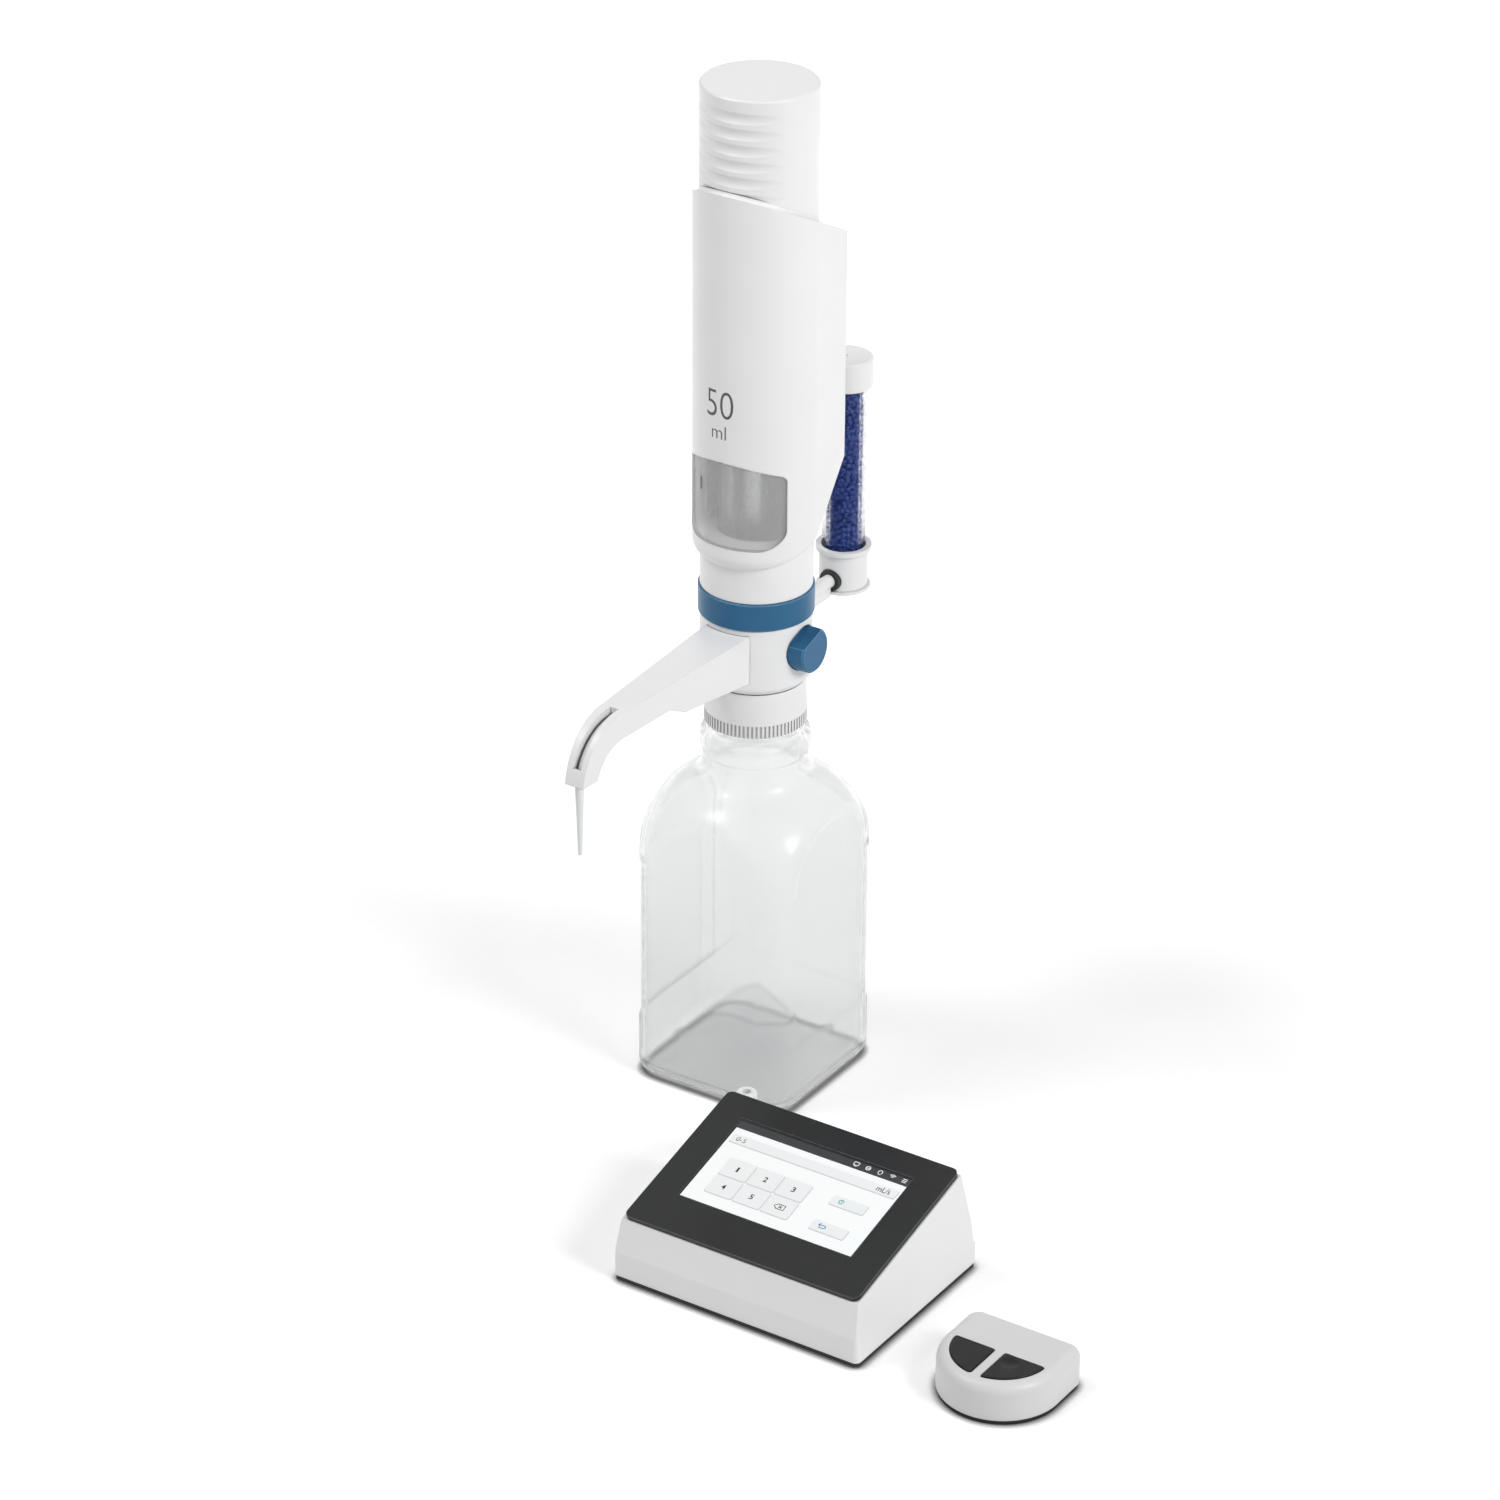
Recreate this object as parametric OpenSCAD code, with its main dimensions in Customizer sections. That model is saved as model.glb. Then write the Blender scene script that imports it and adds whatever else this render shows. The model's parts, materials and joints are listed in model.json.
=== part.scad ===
// Digital burette: motor-driven head on a square bottle, touch controller and two-button hand switch.
// Origin at the centre of the bottle's base, +Z up, discharge arm towards -Y.

/* [Bottle] */
// Width of the square bottle
bottle_w = 91; // [86:1:96]
// Height from the bench to the bottle's mouth
bottle_h = 210; // [200:1:240]
// Radius of the upright corners
bottle_corner_r = 13.5; // [11:0.5:16]
// Wall of the bottle
bottle_wall = 2.4; // [2:0.1:3]
// Height of the proud skirt at the foot
skirt_h = 33; // [24:1:44]
// Depth of the waist between skirt and shoulder
waist_depth = 0.7; // [0.4:0.1:0.9]
// Radius of the domed shoulder in side view
dome_r = 47; // [43:0.5:50]
// Height from the neck's foot to the mouth
neck_h = 36.5; // [35:0.5:40]
// Outer radius of the neck
neck_r = 22.2; // [21.5:0.1:22.4]
// Radius of the bead under the collar
bead_r = 27.4; // [27:0.1:28]

/* [Collar and valve block] */
// Outer radius of the knurled collar band
collar_r = 25.4; // [24.8:0.1:26.4]
// Height of the knurled band
band_h = 6.6; // [4:0.2:9]
// Number of knurl grooves
knurl_count = 76; // [48:2:90]
// Radius of the valve block and of the column above it
column_r = 27.6; // [27:0.1:28.2]
// Height of the valve block
block_h = 35.1; // [34:0.1:38]
// Height of the valve axis above the block's lower face
valve_up = 20.8; // [19:0.1:22]

/* [Locking ring and column] */
// Outer radius of the blue ring
ring_r = 28.5; // [28.2:0.1:29]
// Height of the blue ring
ring_h = 14.2; // [11:0.1:16]

/* [Discharge arm] */
// Half width of the arm at the block
arm_root_half_w = 13; // [10:0.5:14]
// Half width of the arm at its tip
arm_tip_half_w = 5.1; // [4.6:0.1:7]
// Distance from the column's axis to the middle of the bend
bend_y = 124; // [110:1:140]
// Outer radius of the bend
bend_r = 31; // [30:0.5:32]
// Radius of the tube's centreline in the bend
tube_bend_r = 26.3; // [25.8:0.1:26.8]
// Outer radius of the discharge tube
tube_r = 2; // [1.6:0.1:2.2]
// Width of the slot in the bend
slot_w = 4.6; // [3.6:0.1:5.2]
// Length of the nozzle below the arm
nozzle_len = 38; // [30:1:50]

/* [Cylinder and piston] */
// Bore radius of the glass cylinder
bore_r = 17; // [16.5:0.1:17.2]
// Wall of the glass cylinder
glass_wall = 2.2; // [1.8:0.1:2.3]
// Stroke of the piston for 50 ml
stroke = 55; // [50:0.5:57]
// Length of the piston
piston_h = 16; // [14:0.5:17]
// Radius of the lead screw
screw_r = 4; // [3:0.1:4.4]

/* [Housing] */
// Outer radius of the round front of the housing
housing_r = 31.4; // [31.2:0.1:33]
// Distance from the column's axis to the flat back of the wing
wing_y = 38; // [37:0.5:42]
// Half width of the flat back
wing_half_w = 25.4; // [24:0.2:27]
// Wall of the housing
housing_wall = 2.2; // [2:0.1:2.4]
// Half width of the window across the front
window_half_w = 27.2; // [24:0.2:28]
// Outer radius of the top cap
cap_r = 28.3; // [27.6:0.1:28.6]
// Height of the top cap's roof above the housing's front edge
cap_up = 47; // [44:1:60]
// Number of finger grooves on the cap
groove_count = 6; // [4:1:6]

/* [Drying tube] */
// Distance of the drying tube from the column's axis
dry_y = 79; // [76:1:90]
// Outer radius of the drying tube
dry_r = 11; // [9:0.5:11.4]
// Length of the drying tube
dry_len = 98; // [76:1:104]

/* [Controller] */
// Width of the controller's base
ctrl_w = 137.5; // [134:0.5:150]
// Depth of the controller's base
ctrl_d = 106.5; // [102:0.5:115]
// Left edge of the controller
ctrl_x = 56.4; // [55:0.1:80]
// Front edge of the controller
ctrl_y = -207; // [-230:1:-204]
// Height of the lower edge of the front panel
panel_low_z = 35.5; // [32:0.5:40]
// Height of the upper edge of the front panel
panel_high_z = 58.6; // [54:0.1:66]
// Width of the front panel
panel_w = 130; // [120:0.5:132]
// Thickness of the front panel
panel_t = 2.4; // [2:0.1:3]

/* [Hand switch] */
// Width of the hand switch
switch_w = 60; // [56:0.5:66]
// Centre of its round front, across
switch_x = 256; // [250:1:280]
// Centre of its round front, front to back
switch_y = -182.3; // [-200:0.1:-170]
// Height of the hand switch
switch_h = 21; // [19:0.5:26]
// Distance from the round front's centre to the straight back
switch_back = 25.3; // [22:0.1:32]
// Radius of the pair of buttons
button_r = 23.7; // [20:0.1:24]
// Travel of a button
button_travel = 1.2; // [0.8:0.1:1.6]

/* [Hidden] */
$fn = 96;

// Clearances and shared small sizes
cut = 1;            // overrun of a cut past the face it opens
far = 400;          // reach of a cutting slab
skin_gap = 0.15;    // between fixed mouldings that meet
turn_gap = 0.3;     // between curved faces that move past each other
run_gap = 0.06;     // running fit of a shaft in its hole
press_gap = 0.02;   // pieces pushed together in one body
edge_r = 0.8;       // small broken edge

// Bottle
foot_r = 7;
neck_z = bottle_h - neck_h;
neck_out_r = 26.2;
shoulder_out_r = 59.3;
shoulder_fillet_r = 10;
dome_mid_r = shoulder_out_r - dome_r;
fillet_mid_r = neck_out_r + shoulder_fillet_r;
dome_span = dome_r + shoulder_fillet_r;
dome_rise = sqrt(dome_span * dome_span - (fillet_mid_r - dome_mid_r) * (fillet_mid_r - dome_mid_r));
dome_sweep = atan2(dome_rise, fillet_mid_r - dome_mid_r);
dome_steps = 18;
fillet_steps = 6;
shoulder_z = neck_z - dome_rise;
neck_wall = 3.4;
mouth_bore_r = neck_r - neck_wall;
bead_up = 5.1;
bead_h = 12.9;
bead_z = neck_z + bead_up;
bead_edge_r = 3;
land_r = 24.8;
land_h = 2;
throat_up = 14;
throat_h = 5;
panel_arch_r = 34;
panel_arch_drop = 4.7;
panel_dip = 0.3;
floor_t = 3;

// Stack of levels above the mouth
gasket_t = 2;
flange_t = 4.2;
flange_r = 20.8;
stem_r = 15;
collar_roof_t = 2.9;
collar_foot_gap = 4.5;
seam_gap = 0.8;
gasket_top = bottle_h + gasket_t;
flange_top = gasket_top + flange_t;
collar_z = bead_z + bead_h + collar_foot_gap;
collar_top = flange_top + turn_gap + collar_roof_t;
block_z = collar_top + seam_gap;
block_top = block_z + block_h;
valve_z = block_z + valve_up;
ring_z = block_top + turn_gap;
ring_top = ring_z + ring_h;
sleeve_z = ring_top + turn_gap;
spigot_r = 25;
spigot_h = 6.6;
spigot_top = block_top + spigot_h;

// Collar
knurl_depth = 0.6;
knurl_w_share = 0.45;
collar_top_r = collar_r - 0.9 * edge_r;

// Valve block channels and valves
block_chamfer_r = 25;
block_chamfer_h = 2.8;
plug_r = 17.4;
plug_h = 8;
channel_r = 2;
spindle_r = 5;
spindle_back = 8;
knob_r = 11.2;
knob_back_x = 24.9;
knob_len = 9.7;
knob_flat = 7.46;
knob_tilt = 19;
knob_socket = 3.2;
intake_r = 7;
intake_low = gasket_top - plug_h;
intake_h = 18;
intake_seat_up = 7;
intake_cage_r = 3.9;
intake_cage_h = 7.5;
intake_ball_r = 3;
nipple_r = 3;
nipple_len = 14;
nipple_plug_h = 3;
nipple_plug_r = 2.6;
nipple_tip_r = 2.5;
nipple_taper = 1.5;
dis_y = -16;
dis_r = 2.6;
dis_ball_r = 2;
dis_seat_r = 1.3;
dis_seat_up = 1.4;
dis_cage_h = 7.5;
tube_wall = 0.8;
tube_bore_r = tube_r - tube_wall;
seat_lift = 0.03;

// Arm
arm_low_root_up = 6.4;
arm_low_mid_up = 12.9;
arm_low_tip_up = 18.8;
arm_top_root_up = 32.6;
arm_top_up = 31.8;
arm_end_drop = 27.3;
arm_low_root_z = block_z + arm_low_root_up;
arm_low_mid_z = block_z + arm_low_mid_up;
arm_low_tip_z = block_z + arm_low_tip_up;
arm_top_root_z = block_z + arm_top_root_up;
arm_top_z = block_z + arm_top_up;
arm_mid_y = 76;
arm_step_y = 88;
arm_start_y = 18;
inner_bend_r = 20.4;
bend_steps = 28;
arm_end_z = arm_top_z - arm_end_drop;
bend_z = arm_top_z - bend_r;
inner_bend_z = arm_low_tip_z - inner_bend_r;
tube_drop = 0.8;
tube_bend_z = bend_z - tube_drop;
tube_z = tube_bend_z + tube_bend_r;
tube_gap = 0.9;
tube_sweep = 76;
slot_sweep = 66;
slot_lead = 2.6;
nozzle_r = 2.25;
nozzle_tip_r = 1;
nozzle_bore_r = 0.6;
nozzle_y = bend_y + tube_bend_r;
nozzle_grip = 2.2;

// Vent pipe and drying tube
pipe_r = 3.4;
pipe_bore_r = 1.8;
pipe_up = 2;
pipe_z = valve_z + pipe_up;
pipe_sink = 5;
vent_y = 11.6;
web_t = 3;
web_h = 8;
cup_r = 12.2;
cup_flange_r = 14;
cup_flange_h = 2.4;
cup_h = 23;
cup_floor = 4;
cup_drop = 7;
cup_z = pipe_z - cup_drop;
lower_flange_r = 13.6;
lower_flange_h = 1.4;
port_r = 5.6;
port_len = 2.6;
dry_wall = 1.4;
dry_z = pipe_z + port_r + 4 * skin_gap;
ledge_w = 1.6;
chamber_r = dry_r - dry_wall - ledge_w;
dry_top = dry_z + dry_len;
fill_gap = 0.2;
fill_down = 3;
dry_cap_r = 13.4;
dry_cap_h = 15;
dry_cap_roof = 2.2;
dry_cap_grip = 2;
vent_hole_r = 0.8;

// Column, cylinder and drive
sleeve_wall = 2.8;
sleeve_floor = 3;
rim_slope = 0.316;
sleeve_h = 27.6;
rim_z = sleeve_z + sleeve_h;
wing_slope = 0.9;
wing_drop = 3.4;
wing_foot = rim_z - wing_drop;
kink_y = (rim_z - wing_foot) / (wing_slope - rim_slope);
seal_t = 2;
seal_in_r = 14;
glass_r = bore_r + glass_wall;
glass_z = spigot_top + seal_t;
glass_spare = 11;
glass_h = piston_h + stroke + glass_spare;
glass_top = glass_z + glass_h;
clamp_t = 4;
clamp_z = glass_top;
inner_r = housing_r - housing_wall;
plate_r = inner_r - skin_gap - skin_gap;
piston_start = 1.2;
piston_z = glass_z + piston_start;
piston_gap = 0.3;
seal_groove_h = 2.2;
seal_groove_d = 1.4;
seal_up_share = [0.2, 0.68];
rod_r = 6.5;
screw_clear = 0.6;
rod_bore_r = screw_r + screw_clear;
rod_floor = 10;
nut_gap = 6;
nut_h = 10;
nut_r = 25;
nut_half_w = 12;
nut_z = clamp_z + clamp_t + nut_gap;
rod_top = nut_z;
guide_r = 2.5;
guide_x = 21;
guide_lap = 2;
bearing_t = 6;
bearing_margin = 17;
bearing_z = nut_z + nut_h + stroke + bearing_margin;
bearing_r = 9;
bearing_top = bearing_z + bearing_t;
spacer_h = 18;
spacer_r = 2.5;
spacer_ring_r = 21.5;
motor_plate_z = bearing_top + spacer_h;
motor_plate_t = 4;
motor_w = 35.2;
motor_h = 36;
motor_corner = 4;
motor_z = motor_plate_z + motor_plate_t;
shaft_r = 2.5;
boss_r = 11;
boss_h = 2;
coupling_r = 8.5;
coupling_h = 14;
coupling_z = bearing_top + 1.5 * edge_r;
coupling_split = coupling_z + coupling_h / 2;
screw_z = nut_z - nut_gap + edge_r;

// Housing
roof_slope = 0.497;
roof_drop = 0.3;
cap_z = bearing_top;
roof_z = cap_z + roof_slope * (housing_r + cap_r) + roof_drop + 2.65 * housing_wall;
cap_top = roof_z + cap_up;
rim_round_r = 8.9;
rim_round_h = 7;
wing_lip = 1.6;
sill_h = 1.9;
window_low_z = rim_z + sill_h;
window_arc_r = 59.3;
window_rise = 44.7;
window_corner_r = 10;
window_top_corner_r = 4;
window_front_z = window_low_z + window_rise;
window_arc_steps = 24;
window_corner_steps = 8;
shield_t = 1.5;
cap_wall = 2.1;
groove_r = 4.2;
groove_depth = 1.1;
groove_pitch = 7.9;
groove_first = 9;
groove_shift = 2.6;
groove_share = 0.46;
cover_half_w = 20.8;
cover_low = 9;
cover_h = 96;
cover_lip_w = 3.6;
cover_z = rim_z + wing_slope * wing_y + cover_low;
screw_head_r = 2;
screw_head_t = 0.9;
screw_shank_r = 0.9;
screw_inset = 1.9;
socket_r = 5.6;
socket_bore_r = 3;
socket_len = 9;
socket_up = 80;
socket_proud = 1.2;
board_t = 1.6;
board_gap = 4.2;
board_half_w = 15.5;
board_h = 61;
board_post_share = 0.12;
board_up = 8;

// Controller
ctrl_corner_r = 3;
ctrl_base_t = 2.3;
foot_t = 0.7;
foot_pad_r = 5;
foot_inset = 14;
ctrl_floor_z = foot_t + ctrl_base_t;
plinth_z = 12.4;
flare_h = 3.4;
wall_z = 11.5;
ctrl_wall = 2.4;
panel_front_in = 3.8;
panel_back_in = 12.4;
side_tuck = 0.6;
side_lean_depth = 31.5;
side_lean = ((ctrl_w - panel_w) / 2 - side_tuck) / side_lean_depth;
panel_corner_r = 3.5;
ctrl_mid = [ctrl_x + ctrl_w / 2, ctrl_y + ctrl_d / 2, 0];
panel_y0 = ctrl_y + panel_front_in;
panel_y1 = ctrl_y + ctrl_d - panel_back_in;
panel_run = ctrl_d - panel_front_in - panel_back_in;
panel_rise = panel_high_z - panel_low_z;
panel_len = sqrt(panel_run * panel_run + panel_rise * panel_rise);
panel_tilt = atan(panel_rise / panel_run);
screen_x_share = 0.1265;
screen_w_share = 0.7431;
screen_v_share = 0.2425;
screen_h_share = 0.6073;
screen_x = screen_x_share * panel_w;
screen_w = screen_w_share * panel_w;
screen_v = screen_v_share * panel_len;
screen_h = screen_h_share * panel_len;
screen_t = 3.4;
ribbon_w = 26;
screen_dip = 0.2;
back_lean_y = 4;
post_r = 5.2;
post_bore_r = 2.2;
post_bore_len = 10;
post_in = 2.7;
post_bite = 0.8;
post_x = ctrl_x + post_in;
post_y = ctrl_y + ctrl_d + post_r - post_bite;
post_top = 49;
post_low = ctrl_floor_z + edge_r;
lug_r = 7.2;
lug_h = 9;
jack_r = 4.2;
jack_bore_r = 2.75;
jack_x_share = 0.8;
jack_len = 11;
jack_z = (plinth_z + ctrl_floor_z) / 2;
ctrl_board_t = 1.6;
ctrl_board_in = 12;
ctrl_post_r = 3;
ctrl_post_h = 5;

// Hand switch
switch_r = switch_w / 2;
switch_base_t = 2.2;
switch_edge_r = 5.4;
switch_corner_r = 6;
switch_wall = 2.2;
switch_roof = 3.2;
button_half_gap = 2.7;
button_back = 1.3;
button_proud = 0.6;
button_lip = 1.2;
dish_r = 4.5;
dish_dip = 0.7;
dish_x = 0.37 * button_r;
dish_y = 0.27 * button_r + button_back;
button_lip_t = 1.2;
button_top = switch_h + button_proud;
button_t = switch_roof + button_proud + turn_gap + button_lip_t;
switch_board_t = 1.2;
switch_board_h = 5;
tact_w = 6;
tact_h = 2;
tact_z = switch_base_t + switch_board_h + switch_board_t;
tact_pin_r = 1.7;
tact_x = 0.42 * button_r;
tact_y = 0.36 * button_r + button_back;
base_screw_r = 2.6;
base_screw_t = 1.4;

function rimAt(y) = rim_z + rim_slope * y;
function wingAt(y) = wing_foot + wing_slope * y;
function roofAt(y) = roof_z - roof_slope * (y + housing_r);

// Rounded rectangle about the origin
module roundRect(w, d, r) {
    square([w - 2 * r, d], center = true);
    square([w, d - 2 * r], center = true);
    for (x = [-1, 1], y = [-1, 1])
        translate([x * (w / 2 - r), y * (d / 2 - r)]) circle(r);
}

// Tube standing on z = 0
module pipe(r_out, r_in, h) {
    difference() {
        cylinder(r = r_out, h = h);
        translate([0, 0, -cut]) cylinder(r = r_in, h = h + 2 * cut);
    }
}

// Upright cylinder whose top edge is broken
module bevelTop(r, h) {
    cylinder(r = r, h = h - edge_r);
    translate([0, 0, h - edge_r]) cylinder(r1 = r, r2 = r - edge_r, h = edge_r);
}

// Lays a profile drawn in (Y, Z) across X, centred
module acrossX(w) {
    rotate([90, 0, 90]) translate([0, 0, -w / 2]) linear_extrude(w) children();
}

// Lays a profile drawn in (X, Z) across Y, centred
module acrossY(w) {
    rotate([90, 0, 0]) translate([0, 0, -w / 2]) linear_extrude(w) children();
}

// Bottle

// Points of an arc about "c" from angle "a0" to "a1"
function arcPoints(c, r, a0, a1, steps) =
    [for (i = [0:steps]) let (a = a0 + (a1 - a0) * i / steps) c + r * [cos(a), sin(a)]];

// Half profile of the shoulder up to the neck, drawn in by "inset"
function shoulderPoints(inset) = concat(
    [[0, 0], [shoulder_out_r - inset, 0]],
    arcPoints([dome_mid_r, shoulder_z], dome_r - inset, 0, dome_sweep, dome_steps),
    arcPoints([fillet_mid_r, neck_z], shoulder_fillet_r + inset, 180 + dome_sweep, 180, fillet_steps));

module outerProfile() {
    low = bead_z + bead_edge_r;
    high = bead_z + bead_h - bead_edge_r;
    mid = bead_r - bead_edge_r;
    polygon(concat(
        shoulderPoints(0), [[neck_out_r, bead_z]],
        arcPoints([mid, low], bead_edge_r, -45, 0, fillet_steps),
        arcPoints([mid, high], bead_edge_r, 0, 80, fillet_steps),
        [[land_r, bead_z + bead_h], [land_r, bead_z + bead_h + land_h], [neck_r, bead_z + bead_h + land_h],
        [neck_r, bottle_h], [0, bottle_h]]));
}

module innerProfile(inset) {
    polygon(concat(
        shoulderPoints(inset),
        [[neck_out_r - inset, neck_z + throat_up], [mouth_bore_r, neck_z + throat_up + throat_h],
        [mouth_bore_r, far], [0, far]]));
}

// Side view of the foot with its rounded lower edges
module footProfile(inset) {
    w = bottle_w / 2 - inset;
    r = foot_r - inset / 2;
    low = inset > 0 ? floor_t : 0;
    translate([-w, low + r]) square([2 * w, bottle_h]);
    translate([r - w, low]) square([2 * (w - r), bottle_h]);
    for (s = [-1, 1]) translate([s * (w - r), low + r]) circle(r);
}

module bottlePrism(inset) {
    linear_extrude(far)
        roundRect(bottle_w - 2 * inset, bottle_w - 2 * inset, bottle_corner_r - inset / 2);
}

module labelPanel() {
    arch_z = shoulder_z - panel_arch_drop;
    half = bottle_w / 2 - bottle_corner_r;
    translate([bottle_w / 2 - waist_depth - panel_dip, 0, 0])
        rotate([90, 0, 90]) linear_extrude(bottle_w) {
            translate([-half, skirt_h]) square([2 * half, arch_z - skirt_h]);
            intersection() {
                translate([0, arch_z]) circle(panel_arch_r);
                translate([-half, skirt_h]) square([2 * half, bottle_h]);
            }
        }
}

module bottle() {
    waist_w = bottle_w - 2 * waist_depth;
    color([0.86, 0.88, 0.89, 0.5]) difference() {
        intersection() {
            bottlePrism(0);
            rotate_extrude() outerProfile();
            acrossX(bottle_w + 2 * cut) footProfile(0);
            acrossY(bottle_w + 2 * cut) footProfile(0);
        }
        translate([0, 0, skirt_h]) linear_extrude(shoulder_z - skirt_h) difference() {
            square(2 * bottle_w, center = true);
            roundRect(waist_w, waist_w, bottle_corner_r);
        }
        for (a = [0:90:270]) rotate(a) labelPanel();
        intersection() {
            bottlePrism(bottle_wall);
            rotate_extrude() innerProfile(bottle_wall);
            acrossX(bottle_w + 2 * cut) footProfile(bottle_wall);
            acrossY(bottle_w + 2 * cut) footProfile(bottle_wall);
        }
    }
}

module neck_gasket() {
    color("dimgray") translate([0, 0, bottle_h]) pipe(flange_r, plug_r + skin_gap, gasket_t);
}

// Collar and valve block

module adapter_collar() {
    neck_hole_r = neck_r + turn_gap;
    roof_z_in = flange_top + turn_gap;
    color("white") difference() {
        union() {
            translate([0, 0, collar_z]) linear_extrude(band_h) difference() {
                circle(collar_r);
                for (i = [0:knurl_count - 1]) rotate(i * 360 / knurl_count)
                    translate([collar_r - knurl_depth, 0])
                        square([2 * knurl_depth, 2 * PI * collar_r / knurl_count * knurl_w_share]);
            }
            translate([0, 0, collar_z + band_h]) cylinder(
                r1 = collar_r, r2 = collar_top_r, h = collar_top - collar_z - band_h);
        }
        translate([0, 0, collar_z - cut]) cylinder(r = neck_hole_r, h = roof_z_in - collar_z + cut);
        translate([0, 0, collar_z]) cylinder(r = stem_r + turn_gap, h = collar_top - collar_z + cut);
    }
}

module valve_block() {
    color("white") difference() {
        union() {
            translate([0, 0, gasket_top - plug_h]) cylinder(r = plug_r, h = plug_h);
            translate([0, 0, gasket_top]) cylinder(r = flange_r, h = flange_t);
            translate([0, 0, gasket_top]) cylinder(r = stem_r, h = block_z - gasket_top + cut);
            translate([0, 0, block_z]) cylinder(r1 = block_chamfer_r, r2 = column_r, h = block_chamfer_h);
            translate([0, 0, block_z + block_chamfer_h])
                cylinder(r = column_r, h = block_h - block_chamfer_h);
            translate([0, 0, block_top]) cylinder(r = spigot_r, h = spigot_h);
        }
        // intake valve from below, then the channel up to the cylinder
        translate([0, 0, intake_low - cut]) cylinder(r = intake_r + press_gap, h = intake_h + cut);
        translate([0, 0, intake_low]) cylinder(r = channel_r, h = far);
        // valve spindle and the round pocket behind its knob
        translate([-spindle_back, 0, valve_z]) rotate([0, 90, 0]) cylinder(r = spindle_r + run_gap, h = far);
        translate([knob_back_x - turn_gap, 0, valve_z]) rotate([0, 90, 0])
            cylinder(r = knob_r + turn_gap, h = far);
        // channel forward to the discharge ball and out to the arm
        translate([0, 0, valve_z]) rotate([90, 0, 0]) cylinder(r = dis_seat_r, h = -dis_y);
        translate([0, dis_y, valve_z]) cylinder(r = dis_seat_r, h = dis_seat_up + cut);
        translate([0, dis_y, valve_z + dis_seat_up]) cylinder(r = dis_r, h = dis_cage_h);
        translate([0, dis_y, tube_z]) rotate([90, 0, 0]) cylinder(r = tube_r + press_gap, h = far);
        // blind bore for the vent pipe
        translate([0, column_r - pipe_sink, pipe_z]) rotate([-90, 0, 0])
            cylinder(r = pipe_r + press_gap, h = far);
        translate([0, vent_y - pipe_bore_r, pipe_z]) rotate([-90, 0, 0]) cylinder(r = pipe_bore_r, h = far);
        translate([0, vent_y, intake_low - cut]) cylinder(r = pipe_bore_r, h = pipe_z - intake_low + cut);
    }
}

module suction_nipple() {
    color("whitesmoke") difference() {
        union() {
            translate([0, 0, intake_low - nipple_len])
                cylinder(r1 = nipple_tip_r, r2 = nipple_r, h = nipple_taper);
            translate([0, 0, intake_low - nipple_len + nipple_taper])
                cylinder(r = nipple_r, h = nipple_len - nipple_taper);
            translate([0, 0, intake_low - nipple_taper])
                cylinder(r = nipple_plug_r, h = nipple_plug_h + nipple_taper);
        }
        translate([0, 0, intake_low - nipple_len - cut]) cylinder(r = channel_r, h = far);
    }
}

module intake_valve() {
    seat_z = intake_low + intake_seat_up;
    color("gainsboro") difference() {
        translate([0, 0, intake_low]) cylinder(r = intake_r, h = intake_h);
        translate([0, 0, intake_low - cut]) cylinder(r = nipple_plug_r + press_gap, h = nipple_plug_h + cut);
        translate([0, 0, intake_low]) cylinder(r = channel_r, h = far);
        translate([0, 0, seat_z]) cylinder(r = intake_cage_r, h = intake_cage_h);
    }
}

// A ball resting on the edge of a round hole
module seatedBall(ball_r, hole_r, seat_z) {
    translate([0, 0, seat_z + sqrt(ball_r * ball_r - hole_r * hole_r) + seat_lift]) sphere(ball_r);
}

module intake_ball() {
    color("silver") seatedBall(intake_ball_r, channel_r, intake_low + intake_seat_up);
}

module discharge_ball() {
    color("silver") translate([0, dis_y, 0])
        seatedBall(dis_ball_r, dis_seat_r, valve_z + dis_seat_up);
}

module valve_spindle() {
    spindle_len = knob_back_x + knob_socket + spindle_back - 2 * run_gap;
    color("gainsboro") difference() {
        translate([run_gap - spindle_back, 0, valve_z]) rotate([0, 90, 0])
            cylinder(r = spindle_r, h = spindle_len);
        translate([0, 0, valve_z - spindle_r - cut]) cylinder(r = channel_r, h = 2 * (spindle_r + cut));
        translate([0, 0, valve_z]) rotate([90, 0, 0]) cylinder(r = dis_seat_r, h = spindle_r + cut);
    }
}

module valve_knob() {
    color([0.27, 0.48, 0.66]) difference() {
        translate([knob_back_x, 0, valve_z]) rotate([0, 90, 0]) bevelTop(knob_r, knob_len);
        translate([knob_back_x - cut, 0, valve_z]) rotate([0, 90, 0])
            cylinder(r = spindle_r + press_gap, h = knob_socket + cut);
        translate([0, 0, valve_z]) rotate([knob_tilt, 0, 0])
            translate([knob_back_x - cut, -knob_r - cut, knob_flat])
                cube([knob_len + 2 * cut, 2 * (knob_r + cut), knob_r]);
    }
}

// Discharge arm

module armSide() {
    outer_stop = 180 - asin((arm_end_z - bend_z) / bend_r);
    inner_stop = 180 - asin((arm_end_z - inner_bend_z) / inner_bend_r);
    polygon(concat(
        [[-arm_start_y, arm_top_root_z]],
        arcPoints([-bend_y, bend_z], bend_r, 90, outer_stop, bend_steps),
        arcPoints([-bend_y, inner_bend_z], inner_bend_r, inner_stop, 90, bend_steps),
        [[-arm_step_y, arm_low_tip_z], [-arm_mid_y, arm_low_mid_z], [-arm_start_y, arm_low_root_z]]));
}

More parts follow.
